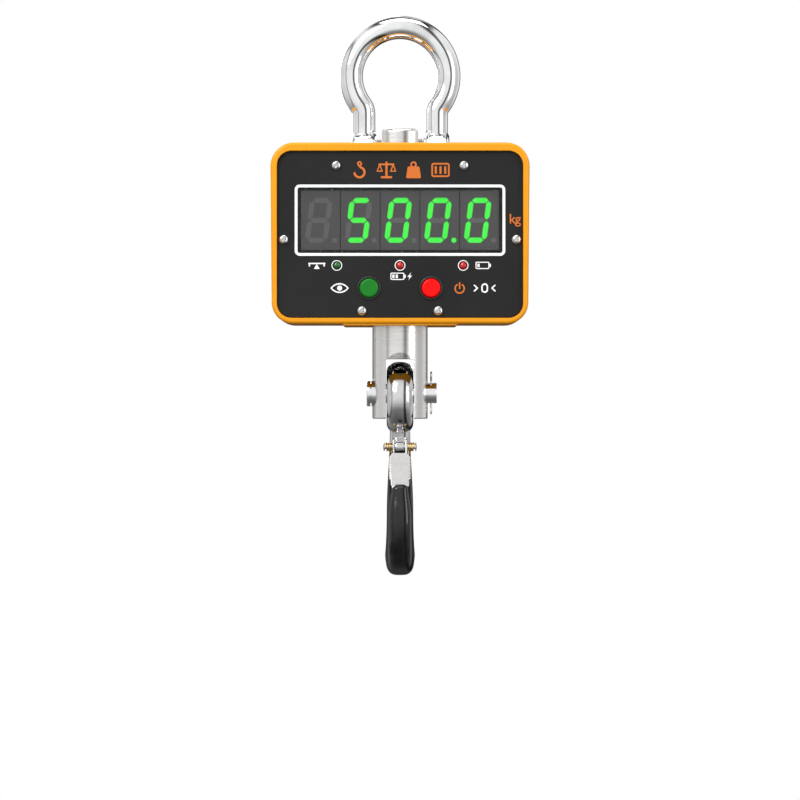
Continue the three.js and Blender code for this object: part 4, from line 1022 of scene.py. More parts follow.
# The hook's near-black bowl is painted dark reflection.
HOOK = ForgedHook("forged_hook", "hook_black")
ORANGE = CastingPaint("orange_casting_paint", "orange_shell")
RUBBER = Moulded("black_rubber_seal", "black_rubber", grey(0.010), 0.62, 0.4, 0.02)
FOIL = PrintedFoil("charcoal_foil", "charcoal_panel")
WINDOW = SmokedWindow("smoked_window_pane", "smoked_window")
MODULE = Moulded("digit_face", "digit_grey", grey(0.105), 0.55, 0.3, 0.006, 0.15)
UNLIT = Moulded("unlit_segment", "digit_grey", grey(0.165), 0.40, 0.4, 0.004, 0.15)
LIT = Glow("lit_segment", "digit_grey")
BOARD = CircuitBoard("solder_mask", "board_green")
GREEN_CAP = Moulded(
    "green_button", "green_plastic", (0.004, 0.17, 0.010, 1.0), 0.30, 0.5, 0.004, 0.2, 0.08, 0.2)
RED_CAP = Moulded("red_button", "red_plastic", (0.80, 0.0, 0.0, 1.0), 0.30, 0.5, 0.004, 0.1, 0.06, 0.15)
GREEN_LENS = LampLens(
    "green_lamp_lens", "green_plastic", (0.001, 0.045, 0.004, 1.0), (0.006, 0.12, 0.01, 1.0))
RED_LENS = LampLens("red_lamp_lens", "red_plastic", (0.24, 0.001, 0.002, 1.0), (0.62, 0.005, 0.008, 1.0))
BLACK = Moulded("black_moulding", "black_plastic", grey(0.010), 0.34, 0.3, 0.006, 0.3, 0.15)
WRAP = ShrinkWrap("battery_wrap", "battery_wrap")
# The last number of each ink is its painted glow, which brightens the print under any light.
WHITE_INK = Ink("white_ink", "charcoal_panel", grey(0.86), 0.10)
ORANGE_INK = Ink("orange_ink", "charcoal_panel", (0.62, 0.14, 0.006, 1.0), 0.03)


# ---- Shared small parts -------------------------------------------------------------------


def mirror(axis: Axis) -> Matrix:
    """The matrix that mirrors X, Y or Z."""
    scale = {Axis.X: (-1, 1, 1), Axis.Y: (1, -1, 1), Axis.Z: (1, 1, -1)}[axis]
    return Matrix.Diagonal((*scale, 1))


def frames(points: Sequence[Vector], across: Vector) -> list[Matrix]:
    """Stations along a line of points.

    Args:
        points: the line's points.
        across: a direction square to the whole line, or nearly.

    Returns:
        A matrix at each point, with its Z along the line and its Y along across.
    """
    stations = []
    for i, point in enumerate(points):
        ahead = points[min(i + 1, len(points) - 1)] - points[max(i - 1, 0)]
        tangent = ahead.normalized()
        side = across.cross(tangent).normalized()
        up = tangent.cross(side)
        turn = Matrix((side, up, tangent)).transposed()
        stations.append(Matrix.Translation(point) @ turn.to_4x4())
    return stations


def split_pin(at: Place, upright: bool) -> Form:
    """A split pin: two half-round wires from one looped head, spread at their ends.

    Args:
        at: the middle of the hole it goes through.
        upright: whether it lies along Z, head up; otherwise along Y, head to the front.

    Returns:
        The pin.
    """
    wire_r, leg, head_r = 0.72, 15.0, 2.35
    loop_z = leg - head_r - wire_r
    legs = []
    for side in (-1, 1):
        straight = [Vector((0, side * 0.74, z)) for z in (-leg + 4.5, -5, 0, 5, loop_z - head_r - 1.2)]
        spread = [Vector((0, side * 2.2, -leg + wire_r)), Vector((0, side * 1.3, -leg + 2.4))]
        turns = [math.radians(-62 + 152 * i / 12) for i in range(13)]
        bend = [
            Vector((0, side * head_r * math.cos(turn), loop_z + head_r * math.sin(turn))) for turn in turns
        ]
        legs.append(Form.swept(frames([*spread, *straight, *bend], Vector((1, 0, 0))), wire_r, 12))
    pin = legs[0].beside(legs[1]).remeshed(0.14, 3)
    if not upright:
        pin.moved(Matrix.Rotation(math.radians(90), 4, "X"))
    return pin.moved(Matrix.Translation(at))


def socket_bolt(shank: float, head: float, length: float, head_high: float) -> Form:
    """A socket-head bolt whose head stands on Z = 0 and whose shank goes down.

    Args:
        shank: the shank's diameter.
        head: the head's diameter.
        length: the shank's length.
        head_high: the head's height.

    Returns:
        The bolt.
    """
    thread_pitch, root = 1.0, shank / 2 - 0.35
    turns = int(min(length, 20) / thread_pitch) - 1
    thread: list[Point] = []
    for i in range(turns):
        low = -length + 0.8 + i * thread_pitch
        thread += [(root, low), (shank / 2, low + 0.35), (shank / 2, low + 0.6), (root, low + 0.95)]
    body = [(0, -length), (root - 0.2, -length), *thread, (shank / 2, thread[-1][1] + 0.4), (shank / 2, 0)]
    rim = arc((head / 2 - 0.5, head_high - 0.5), 0.5, 0, 90, 4)
    bolt = Form.turned([*body, (head / 2, 0), *rim, (0, head_high)], steps=40)
    hexagon = Form.rod(head * 0.6, Axis.Z, (head_high * 0.35, head_high + 1), steps=6)
    return bolt.cut(hexagon)


# ---- Shackle ------------------------------------------------------------------------------


@dataclass
class Shackle:
    """The bow, its pin with nut and split pin, and the two spacers."""

    wire: float = 16.0
    inner_r: float = 25.6
    leg_x: float = 25.0
    neck_r: float = 9.7
    eye: float = 42.0
    eye_thick: float = 17.8
    pin: float = 16.0
    pin_z: float = -85.1
    tang: float = 24.7
    nut_thick: float = 9.4
    pin_stub: float = 5.0
    head: float = 23.0
    head_thick: float = 10.6

    def centreline(self) -> list[Vector]:
        """The middle of the bow's bar, from the left leg's foot to the right leg's.

        Returns:
            The points in order.
        """
        bow_r = self.inner_r + self.wire / 2
        reach = self.leg_x + self.neck_r
        drop = math.sqrt((bow_r + self.neck_r) ** 2 - reach**2)
        swing = math.degrees(math.atan2(drop, reach))
        neck_z = -self.inner_r - drop
        foot = [(-self.leg_x, self.pin_z + 6 + 5 * i) for i in range(5)]
        neck = arc((-reach, neck_z), self.neck_r, 0, swing, 8)
        bow = arc((0, -self.inner_r), bow_r, 180 + swing, 90, 32)
        left = foot + neck + bow[1:]
        right = [(-x, z) for x, z in reversed(left[:-1])]
        return [Vector((x, 0, z)) for x, z in left + right]

    def bow(self) -> Form:
        """The forged bow with its two eyes.

        Returns:
            The form.
        """
        stations = frames(self.centreline(), Vector((0, 1, 0)))
        bar = Form.swept(stations, self.wire / 2, 48)
        axis = (0, 0, self.pin_z)
        half = self.eye_thick / 2
        eyes = [
            Form.rod(self.eye, Axis.X, (x - half, x + half), axis, edge=3.2, steps=72)
            for x in (-self.leg_x, self.leg_x)
        ]
        outer = self.leg_x + half
        hole = Form.rod(self.pin + 0.6, Axis.X, (-outer - 1, outer + 1), axis, steps=64)
        return bar.join(*eyes).cut(hole)

    def pin_bar(self) -> Form:
        """The pin with its round head; its end is drilled for the split pin.

        Returns:
            The form.
        """
        outer = self.leg_x + self.eye_thick / 2
        start = -outer - GAP
        end = outer + GAP + self.nut_thick + self.pin_stub
        radius, head, edge = self.pin / 2, self.head / 2, 1.5
        profile = [
            (0, start - self.head_thick),
            *arc((head - edge, start - self.head_thick + edge), edge, -90, 0, 6),
            (head, start), (radius, start), *arc((radius - 1, end - 1), 1, 0, 90, 5), (0, end),
        ]
        drill = Form.rod(3.5, Axis.Y, (-15, 15), (self.split_x(), 0, self.pin_z), steps=24)
        return Form.turned(profile, Axis.X, (0, 0, self.pin_z)).cut(drill)

    def split_x(self) -> float:
        """Where the split pin stands."""
        return self.leg_x + self.eye_thick / 2 + GAP + self.nut_thick + self.pin_stub / 2

    def nut(self) -> Form:
        """The hexagon nut, with its corners turned off.

        Returns:
            The form.
        """
        start = self.leg_x + self.eye_thick / 2 + GAP
        end = start + self.nut_thick
        across = 24 / math.sqrt(3)
        axis = (0, 0, self.pin_z)
        body = Form.rod(2 * across, Axis.X, (start, end), axis, steps=6)
        cone = Form.turned(
            [(0, start), (12.2, start), (14.4, start + 1.3), (14.4, end - 1.3), (12.2, end), (0, end)],
            Axis.X, axis)
        bore_r, mouth_r = 8.3, 9.6
        bore = Form.turned([
            (0, start - 1), (mouth_r, start - 1), (bore_r, start + 1),
            (bore_r, end - 1), (mouth_r, end + 1), (0, end + 1),
        ], Axis.X, axis, 48)
        return body.common(cone).cut(bore)

    def spacer(self, side: int) -> Form:
        """The turned ring between an eye and the tang, on the left for -1 or the right for 1.

        Args:
            side: -1 for the front or left one, 1 for the rear or right one.

        Returns:
            The form.
        """
        near, far = self.tang / 2 + GAP, self.leg_x - self.eye_thick / 2 - GAP
        outer, bore = 16.5, 8.3
        profile = [
            (bore, near), *arc((outer - 0.7, near + 0.7), 0.7, -90, 0, 4),
            *arc((outer - 0.7, far - 0.7), 0.7, 0, 90, 4), (bore, far), (bore, near),
        ]
        ring = Form.turned(profile, Axis.X, (0, 0, self.pin_z), 56)
        return ring if side > 0 else ring.moved(mirror(Axis.X))

    def pieces(self) -> list[Piece]:
        """All the shackle's pieces."""
        cotter = split_pin((self.split_x(), 0, self.pin_z), upright=False)
        return [
            Piece("polished_bow", self.bow(), CHROME, Body.SHACKLE, ("shackle_bow",)),
            Piece("shackle_bolt", self.pin_bar(), BRIGHT, Body.SHACKLE, ("shackle_pin",)),
            Piece("hexagon_nut", self.nut(), BRIGHT, Body.SHACKLE, ("shackle_nut",)),
            Piece("nut_split_pin", cotter, PRESSED, Body.SHACKLE, ("shackle_cotter",)),
            Piece("left_spacer", self.spacer(-1), PRESSED, Body.SHACKLE, ("spacer_left",)),
            Piece("right_spacer", self.spacer(1), PRESSED, Body.SHACKLE, ("spacer_right",)),
        ]


# ---- Load cell ----------------------------------------------------------------------------


@dataclass
class LoadCell:
    """The machined bar with its tang, slot and gauge pockets, and the clevis pin."""

    diameter: float = 38.0
    tang: float = 24.7
    top: float = -62.5
    shoulder: float = -108.0
    foot: float = -261.3
    slot: float = 19.5
    roof: float = -220.2
    relief_top: float = -215.9
    relief: float = 6.0
    shackle_z: float = -85.1
    shackle_hole: float = 16.6
    gauge_z: float = -150.0
    gauge: float = 24.0
    gauge_floor: float = 7.0
    pin_z: float = -243.6
    pin: float = 14.0
    head: float = 18.3
    seat: float = 15.9
    tail: float = 25.3
    split_x: float = 21.4

    def bar(self) -> Form:
        """The bar, turned, milled and drilled.

        Returns:
            The form.
        """
        radius, corner, edge = self.diameter / 2, 2.5, 1.0
        past = radius + 2
        body = Form.turned(
            [(0, self.foot), *arc((radius - edge, self.foot + edge), edge, -90, 0, 5),
             *arc((radius - corner, self.top - corner), corner, 0, 90, 8), (0, self.top)],
            steps=96)
        tang = self.tang / 2
        waist = Form.slab(
            rounded([(-tang, self.shoulder, 1.2), (tang, self.shoulder, 1.2), (tang, self.top, corner),
                     (-tang, self.top, corner)]), Axis.Y, (-past, past))
        upper = Form.block((-past, past), (-past, past), (self.shoulder, self.top + 1))
        body.cut(upper.cut(waist))
        half = self.slot / 2
        mouth = [(-half, self.foot - 2), (half, self.foot - 2), (half, self.roof), (-half, self.roof)]
        mouth = rounded([(*p, 0.8 if p[1] == self.roof else 0) for p in mouth])
        slot = Form.slab(mouth, Axis.Y, (-past, past))
        centre = self.relief_top - half
        arch = [(half, self.roof - 3), *arc((0, centre), half, 0, 180, 24), (-half, self.roof - 3)]
        reliefs = [
            Form.slab(arch, Axis.Y, reach)
            for reach in ((-past, -radius + self.relief), (radius - self.relief, past))
        ]
        shackle_hole = Form.rod(self.shackle_hole, Axis.X, (-past, past), (0, 0, self.shackle_z), steps=56)
        pin_hole = Form.rod(self.pin + 0.6, Axis.X, (-past, past), (0, 0, self.pin_z), steps=48)
        seat = Form.rod(self.head + 0.6, Axis.X, (-past, -self.seat), (0, 0, self.pin_z), steps=48)
        pockets = [
            Form.rod(self.gauge, Axis.Y, reach, (0, 0, self.gauge_z), steps=56)
            for reach in ((-past, -self.gauge_floor), (self.gauge_floor, past))
        ]
        return body.cut(slot, *reliefs, shackle_hole, pin_hole, seat, *pockets)

    def gauge_cover(self, side: int) -> Form:
        """The dished cover over a gauge pocket; the front one has a hole for the cable.

        Args:
            side: -1 for the front or left one, 1 for the rear or right one.

        Returns:
            The form.
        """
        outer = math.sqrt((self.diameter / 2) ** 2 - (self.gauge / 2) ** 2)
        radius = self.gauge / 2 - GAP
        profile = [
            (0, outer - 2), *arc((radius - 0.3, outer - 1.7), 0.3, -90, 0, 3),
            *arc((radius - 0.4, outer - 0.4), 0.4, 0, 90, 4), (radius - 2, outer),
            (radius - 2.6, outer - 0.6), (0, outer - 0.6),
        ]
        cover = Form.turned(profile, Axis.Y, (0, 0, self.gauge_z))
        if side > 0:
            return cover
        cable_hole = Form.rod(2.9, Axis.Y, (-outer - 2, -outer + 4), (0, 0, self.gauge_z), steps=24)
        return cover.moved(mirror(Axis.Y)).cut(cable_hole)

    def clevis_pin(self) -> Form:
        """The polished pin: a grooved head on the left, and a drilled tail.

        Returns:
            The form.
        """
        head, radius = self.head / 2, self.pin / 2
        groove, end, edge = 19.6, 22.9, 0.8
        profile = [
            (0, -end), *arc((head - edge, -end + edge), edge, -90, 0, 5), (head, -groove - 0.8),
            (radius, -groove - 0.8), (radius, -groove), (head, -groove), (head, -self.seat - GAP),
            (radius, -self.seat - GAP), *arc((radius - edge, self.tail - edge), edge, 0, 90, 5),
            (0, self.tail),
        ]
        drill = Form.rod(3.5, Axis.Z, (-15, 15), (self.split_x, 0, self.pin_z), steps=24)
        return Form.turned(profile, Axis.X, (0, 0, self.pin_z)).cut(drill)

    def pieces(self) -> list[Piece]:
        """All the load cell's pieces."""
        cotter = split_pin((self.split_x, 0, self.pin_z), upright=True)
        return [
            Piece("turned_bar", self.bar(), SATIN, Body.SCALE, ("load_cell",)),
            Piece("front_gauge_cap", self.gauge_cover(-1), PRESSED, Body.SCALE, ("gauge_cover_front",)),
            Piece("rear_gauge_cap", self.gauge_cover(1), PRESSED, Body.SCALE, ("gauge_cover_rear",)),
            Piece("polished_clevis_pin", self.clevis_pin(), CHROME, Body.SCALE, ("clevis_pin",)),
            Piece("clevis_split_pin", cotter, PRESSED, Body.SCALE, ("clevis_cotter",)),
        ]


# ---- Hook and latch -----------------------------------------------------------------------


@dataclass(frozen=True)
class Stretch:
    """A stretch of the hook's bar: its middle line in Y and Z, and its sizes at both ends."""

    line: tuple[Point, ...]
    widths: Point
    depths: Point


@dataclass
class Hook:
    """The forged eye hook, with the lug that carries the latch."""

    eye_z: float = -246.7
    eye_r: float = 24.6
    eye_hole: float = 10.4
    eye_thick: float = 18.5
    bowl_z: float = -328.7
    bowl_r: float = 19.5
    shank: Point = (15, 16)
    back: Point = (20, 22)
    bottom: Point = (22.2, 20.8)
    front: Point = (19, 17.5)
    tip: Point = (13, 10)
    tip_z: float = -305.8
    pivot_y: float = -11.0
    pivot_z: float = -280.5
    rivet: float = 3.2
    lug_half: float = 3.4

    @staticmethod
    def bezier(a: Point, b: Point, c: Point, d: Point, steps: int) -> tuple[Point, ...]:
        """Points along a cubic curve.

        Args:
            a: its start.
            b: the start's handle.
            c: the end's handle.
            d: its end.
            steps: chords along it.

        Returns:
            The points, both ends included.
        """
        points = []
        for i in range(steps + 1):
            t = i / steps
            weights = ((1 - t) ** 3, 3 * t * (1 - t) ** 2, 3 * t * t * (1 - t), t**3)
            points.append(tuple(
                sum(w * p[k] for w, p in zip(weights, (a, b, c, d), strict=True)) for k in (0, 1)))
        return tuple(points)

    def bowl(self, start: float, end: float, depths: Point, steps: int) -> tuple[Point, ...]:
        """The bar's middle round part of the bowl, whose inside is an arc.

        Args:
            start: first angle in degrees.
            end: last angle in degrees.
            depths: the bar's depth at both.
            steps: chords along it.

        Returns:
            The points, both ends included.
        """
        points = []
        for i in range(steps + 1):
            t = i / steps
            turn = math.radians(start + (end - start) * t)
            middle = self.bowl_r + (depths[0] + (depths[1] - depths[0]) * t) / 2
            points.append((middle * math.cos(turn), self.bowl_z + middle * math.sin(turn)))
        return tuple(points)

    def stretches(self) -> list[Stretch]:
        """Shank, back and front of the bowl, and tip.

        Returns:
            The stretches in order.
        """
        back_y = self.bowl_r + self.back[1] / 2
        front_y = -self.bowl_r - self.front[1] / 2
        rise = self.tip_z - self.bowl_z
        shank = self.bezier(
            (0, self.eye_z - self.eye_hole - 5), (0, self.eye_z - 45), (back_y, self.bowl_z + 29),
            (back_y, self.bowl_z), 24)
        tip = self.bezier(
            (front_y, self.bowl_z), (front_y, self.bowl_z + rise * 0.35),
            (front_y - 1, self.bowl_z + rise * 0.65), (front_y - 1.5, self.tip_z - 2.6), 12)
        depths = (self.shank[1], self.back[1], self.bottom[1], self.front[1], self.tip[1])
        widths = (self.shank[0], self.back[0], self.bottom[0], self.front[0], self.tip[0])
        back = self.bowl(0, -90, depths[1:3], 20)
        front = self.bowl(-90, -180, depths[2:4], 20)
        lines = enumerate((shank, back, front, tip))
        return [Stretch(line, widths[i : i + 2], depths[i : i + 2]) for i, line in lines]

    def bar(self) -> Form:
        """The hook's bar, wide inside the bend and narrow outside, closing to a round tip.

        Returns:
            The form.
        """
        points: list[Vector] = []
        sizes: list[Point] = []
        for number, stretch in enumerate(self.stretches()):
            count = len(stretch.line) - 1
            for i, (y, z) in enumerate(stretch.line):
                if number and i == 0:
                    continue
                t = i / count
                ease = t * t * (3 - 2 * t)
                points.append(Vector((0, y, z)))
                sizes.append((
                    stretch.widths[0] + (stretch.widths[1] - stretch.widths[0]) * ease,
                    stretch.depths[0] + (stretch.depths[1] - stretch.depths[0]) * ease,
                ))
        for share in (0.9, 0.72, 0.45):
            points.append(points[-1] + Vector((0, -0.05, 0.85)))
            sizes.append((self.tip[0] * share, self.tip[1] * share))

        def section(number: int, turn: float) -> Point:
            """A point of the section: X across the hook, Y away from the bowl.

            Args:
                number: the station's number.
                turn: the angle round the section.

            Returns:
                The point.
            """
            width, depth = sizes[number]
            c, s = math.cos(turn), math.sin(turn)
            out = 0.5 * math.copysign(abs(s) ** 0.62, s)
            wide = 0.5 * math.copysign(abs(c) ** 0.62, c)
            return (-wide * width * (1 - 0.22 * (out + 0.3)) / 1.04, out * depth)

        return Form.swept(frames(points, Vector((1, 0, 0))), lambda n, t: section(n, t)[::-1], 40)

    def eye(self) -> Form:
        """The forged eye, rounded like a ring.

        Returns:
            The form.
        """
        middle = (self.eye_r + self.eye_hole) / 2
        radial = (self.eye_r - self.eye_hole) / 2
        profile = []
        for i in range(29):
            turn = -math.tau * (i % 28) / 28
            c, s = math.cos(turn), math.sin(turn)
            profile.append((
                middle - radial * math.copysign(abs(c) ** 0.9, c),
                math.copysign(abs(s) ** 0.85, s) * self.eye_thick / 2,
            ))
        return Form.turned(profile, Axis.X, (0, 0, self.eye_z), 72)

    def lug(self) -> Form:
        """The ear on the shank that the latch turns on.

        Returns:
            The form.
        """
        reach = self.rivet / 2 + 2.4
        outline = [
            (3, self.pivot_z + reach + 5), *arc((self.pivot_y, self.pivot_z), reach, 90, 270, 16),
            (3, self.pivot_z - reach - 2),
        ]
        return Form.slab(outline, Axis.X, (-self.lug_half, self.lug_half))

    def body(self) -> Form:
        """The whole forging, its joints melted together, drilled for the rivet.

        Returns:
            The form.
        """
        forging = self.bar().join(self.eye(), self.lug()).remeshed(0.5, 9)
        drill = Form.rod(3.5, Axis.X, (-9, 9), (0, self.pivot_y, self.pivot_z), steps=32)
        return forging.cut(drill)

    def pieces(self) -> list[Piece]:
        """The hook's one piece."""
        return [Piece("forged_eye_hook", self.body(), HOOK, Body.HOOK, ("hook",), smooth=math.radians(50))]


@dataclass
class Latch:
    """The pressed safety latch on its rivet, with a coil spring on each side."""

    pivot: Place = (0, -11.0, -280.5)
    width: float = 14.5
    stock: float = 1.2
    length: float = 30.0
    lean: float = 17.0
    face: float = -3.2
    bend: float = 3.4
    plate_top: float = -5.2
    lug_half: float = 3.4
    rivet: float = 3.2
    coil_r: float = 2.7
    wire: float = 0.9
    coil_turns: float = 3.5

    def placed(self, form: Form) -> Form:
        """A form about the pivot, leant and moved to its place."""
        turn = Matrix.Rotation(math.radians(-self.lean), 4, "X")
        return form.moved(Matrix.Translation(self.pivot) @ turn)

    def plate(self) -> Form:
        """The latch about its own pivot: a bowed plate with bent edges, a lip and two cheeks.

        Returns:
            The form.
        """
        half, face, stock = self.width / 2, self.face, self.stock
        near = self.lug_half + GAP
        far = near + stock
        outline = rounded([
            (-half + 1.2, -self.length, 2.2), (half - 1.2, -self.length, 2.2),
            (half, self.plate_top - 3, 2), (far, self.plate_top, 0.5),
            (-far, self.plate_top, 0.5), (-half, self.plate_top - 3, 2),
        ])
        blank = Form.slab(outline, Axis.Y, (face, face + stock)).edged(0.35, 3)
        bent = (face, face + self.bend)
        lip = Form.block((-half + 2.2, half - 2.2), bent, (-self.length, -self.length + stock)).edged(0.4)
        side = [
            (face, self.plate_top - 9), (face + 4.4, self.plate_top - 3), (3, -1.5),
            *arc((0, 0), 3.4, -23, 120, 14), (face, 4.2),
        ]
        cheeks = [Form.slab(side, Axis.X, reach).edged(0.25, 2) for reach in ((-far, -near), (near, far))]
        flanges = [
            Form.block(reach, bent, (self.plate_top - 19, self.plate_top - 5)).edged(0.4)
            for reach in ((-half, -half + stock), (half - stock, half))
        ]
        drill = Form.rod(3.5, Axis.X, (-half, half), steps=32)
        return blank.join(lip, *cheeks, *flanges).cut(drill)

    def rivet_bar(self) -> Form:
        """The rivet with its two domed heads.

        Returns:
            The form.
        """
        start = self.lug_half + 2 * GAP + self.stock + self.wire / 2
        head_from = start + (self.wire + 0.25) * self.coil_turns + self.wire / 2 + GAP
        radius, head = self.rivet / 2, self.rivet / 2 + 1.2
        dome = [(head, head_from), (head, head_from + 0.5), (head * 0.8, head_from + 0.95)]
        dome.append((0, head_from + 1.2))
        profile = [(x, -y) for x, y in reversed(dome)] + [(radius, -head_from), (radius, head_from)] + dome
        return Form.turned(profile, Axis.X, self.pivot, 40)

    def spring(self, side: int) -> Form:
        """A coil round the rivet with one leg on the latch and one on the hook's shank.

        Args:
            side: -1 on the left, 1 on the right.

        Returns:
            The spring.
        """
        start = self.lug_half + 2 * GAP + self.stock + self.wire / 2
        pitch = self.wire + 0.25
        steps = 84
        line = []
        for i in range(steps + 1):
            t = i / steps
            turn = math.tau * self.coil_turns * t
            line.append(Vector((
                side * (start + pitch * self.coil_turns * t), self.coil_r * math.cos(turn),
                self.coil_r * math.sin(turn),
            )))
        leg = [Vector((line[0].x, self.coil_r + 0.05, z)) for z in (-7.5, -5, -2.5)]
        coil = Form.swept(frames([*leg, *line], Vector((1, 0, 0))), self.wire / 2, 12)
        return coil.moved(Matrix.Translation(self.pivot))

    def pieces(self) -> list[Piece]:
        """The latch's pieces; the rivet and the springs stay with their bodies."""
        return [
            Piece("pressed_latch", self.placed(self.plate()), PRESSED, Body.LATCH, ("safety_latch",)),
            Piece("domed_rivet", self.rivet_bar(), BRIGHT, self.body_of("latch_rivet"), ("latch_rivet",)),
            Piece("left_coil_spring", self.spring(-1), BRASS, self.body_of("latch_spring_left"),
                  ("latch_spring_left",)),
            Piece("right_coil_spring", self.spring(1), BRASS, self.body_of("latch_spring_right"),
                  ("latch_spring_right",)),
        ]

    @staticmethod
    def body_of(node: str) -> Body:
        """The body that a CAD node rides on."""
        return Body(frame["nodes"][node]["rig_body"])


# ---- Housing ------------------------------------------------------------------------------


@dataclass
class Housing:
    """The two painted half shells, their gasket and bolts, and the seals round the bar."""

    top_z: float = -73.5
    foot_z: float = -196.6
    top_width: float = 176.36
    foot_width: float = 174.0
    half_depth: float = 44.0
    top_r: float = 16.0
    foot_r: float = 14.5
    edge_r: float = 2.0
    wall: float = 3.0
    boss_width: float = 79.0
    boss_thick: float = 1.2
    well: Point = (50.0, 26.0)
    well_floor: float = -110.0
    parting: float = 1.0
    ledge_y: float = -38.7
    ledge_back: float = -36.2
    bar_r: float = 19.0
    seal_r: Point = (19.3, 21.1)
    collar_levels: Point = (-193.3, -189.3)
    panel_size: Point = (166.6, 112.9)
    panel_z: float = -135.95
    bolt_x: float = 78.0
    bolt_levels: Point = (-84.0, -186.5)
    bolt_recess: float = 5.0
    collar_bolt: float = 25.0
    bay: tuple[float, float, float, float] = (-50, 46, -179, -123)
    bay_floor: float = 22.0
    door_inner: float = 41.0
    door: tuple[float, float, float, float] = (-56, 59.3, -183.3, -118.7)
    hinge: Point = (-56.0, 41.6)
    knuckle: float = 2.4
    thumb_x: float = 52.5
    socket: Point = (-68.0, -100.0)

    def outline(self, inset: float = 0) -> list[Point]:
        """The casing's outline in X and Z, moved in by a wall.

        Args:
            inset: how far the outline moves in.

        Returns:
            The points in order.
        """
        top, foot = self.top_width / 2 - inset, self.foot_width / 2 - inset
        top_z, foot_z = self.top_z - inset, self.foot_z + inset
        return rounded([
            (-foot, foot_z, self.foot_r - inset), (foot, foot_z, self.foot_r - inset),
            (top, top_z, self.top_r - inset), (-top, top_z, self.top_r - inset),
        ], 14)

    def bolt_places(self) -> list[Point]:
        """Where the four shell bolts stand in X and Z."""
        return [(x, z) for x in (-self.bolt_x, self.bolt_x) for z in self.bolt_levels]

    def blank(self, side: int) -> Form:
        """The solid front half for -1 or rear half for 1, with its rim rounded and its foot.

        Args:
            side: -1 for the front or left one, 1 for the rear or right one.

        Returns:
            The form.
        """
        reach = sorted((side * self.parting, side * self.half_depth))
        shell = Form.slab(self.outline(), Axis.Y, reach)
        shell.edged(self.edge_r, 6, lambda p: abs(p.y) > self.half_depth - 0.01)
        half, foot = self.boss_width / 2, self.foot_z - self.boss_thick
        boss = [(-half + 1.2, foot), (half - 1.2, foot), (half, self.foot_z), (half, self.foot_z + 1),
                (-half, self.foot_z + 1), (-half, self.foot_z)]
        boss_reach = sorted((side * self.parting, side * (self.half_depth - self.edge_r)))
        return shell.join(Form.slab(boss, Axis.Y, boss_reach).edged(0.5, 3))

    def well_form(self, wall: float, above: float = 0) -> Form:
        """The shackle's well, as its walls or its space."""
        outline = rounded_box(2 * (self.well[0] + wall), 2 * (self.well[1] + wall), 4 + wall)
        return Form.slab(outline, Axis.Z, (self.well_floor - wall, self.top_z + above))

    def shared_cuts(self, side: int) -> list[Form]:
        """The well, the bar's way through, the collar bolt's hole and the shell bolts' holes.

        Args:
            side: -1 for the front or left one, 1 for the rear or right one.

        Returns:
            The forms.
        """
        seal_r = self.bar_r + 2 * GAP + 1.8
        foot = self.foot_z - self.boss_thick
        at = (0, side * self.collar_bolt, 0)
        bolt_reach = sorted((side * 0.5, side * (14 if side < 0 else 45)))
        bolt_holes = Form.rods(5.5, bolt_reach, self.bolt_places(), 28)
        return [
            self.well_form(0, 2),
            Form.rod(2 * seal_r, Axis.Z, (foot - 2, self.well_floor + 2), steps=72),
            Form.rod(5.5, Axis.Z, (foot - 1, self.foot_z + self.wall + 1), at, steps=28),
            Form.rod(9, Axis.Z, (foot - 1, foot + 2.9), at, steps=32),
            *bolt_holes,
        ]

    def rim_softened(self, shell: Form) -> Form:
        """Rounds the well's top edge, and the openings in the front or back face."""
        def at_rim(p: Vector) -> bool:
            """Whether an edge's middle lies on a rim that a hand meets.

            Args:
                p: the edge's middle.

            Returns:
                Whether it does.
            """
            on_face = abs(p.y) > self.half_depth - 0.02
            on_top = p.z > self.top_z - 0.02 and abs(p.x) < self.well[0] + 0.1
            return on_face or (on_top and abs(p.y) > self.parting + 0.1)

        return shell.edged(0.7, 3, at_rim)

    def front(self) -> Form:
        """The front shell: a frame round the panel, a ledge behind it, posts and bosses.

        Returns:
            The form.
        """
        inner = Form.slab(self.outline(self.wall), Axis.Y, (self.ledge_back, 0))
        panel = Form.slab(
            rounded_box(self.panel_size[0] + 0.6, self.panel_size[1] + 0.6, 9.9, (0, self.panel_z)),
            Axis.Y, (-self.half_depth - 1, self.ledge_y))
        ledge_top, ledge_foot = -95.0, -183.0
        opening = Form.slab(
            rounded_box(self.panel_size[0] - 19.6, ledge_top - ledge_foot, 3,
                        (0, (ledge_top + ledge_foot) / 2)),
            Axis.Y, (self.ledge_y - 1, self.ledge_back + 1))
        shell = self.blank(-1).cut(inner, panel, opening)
        posts = [
            Form.rod(diameter, Axis.Y, (self.ledge_back - 1, end), (x, 0, z), steps=28)
            for x in (-77, 77) for z in (-120, -172) for diameter, end in ((7, -31.9), (4, -25.1))
        ]
        bosses = Form.rods(11, (self.ledge_back - 1, -self.parting), self.bolt_places(), 36)
        well = self.well_form(self.wall).common(Form.block((-99, 99), (-43, -self.parting), (-300, 0)))
        shell.join(well, *posts, *bosses)
        screws = Form.rods(3.5, (self.ledge_y - 1, -35), DisplayUnit.screw_places, 24)
        return self.rim_softened(shell.cut(*self.shared_cuts(-1), *screws))

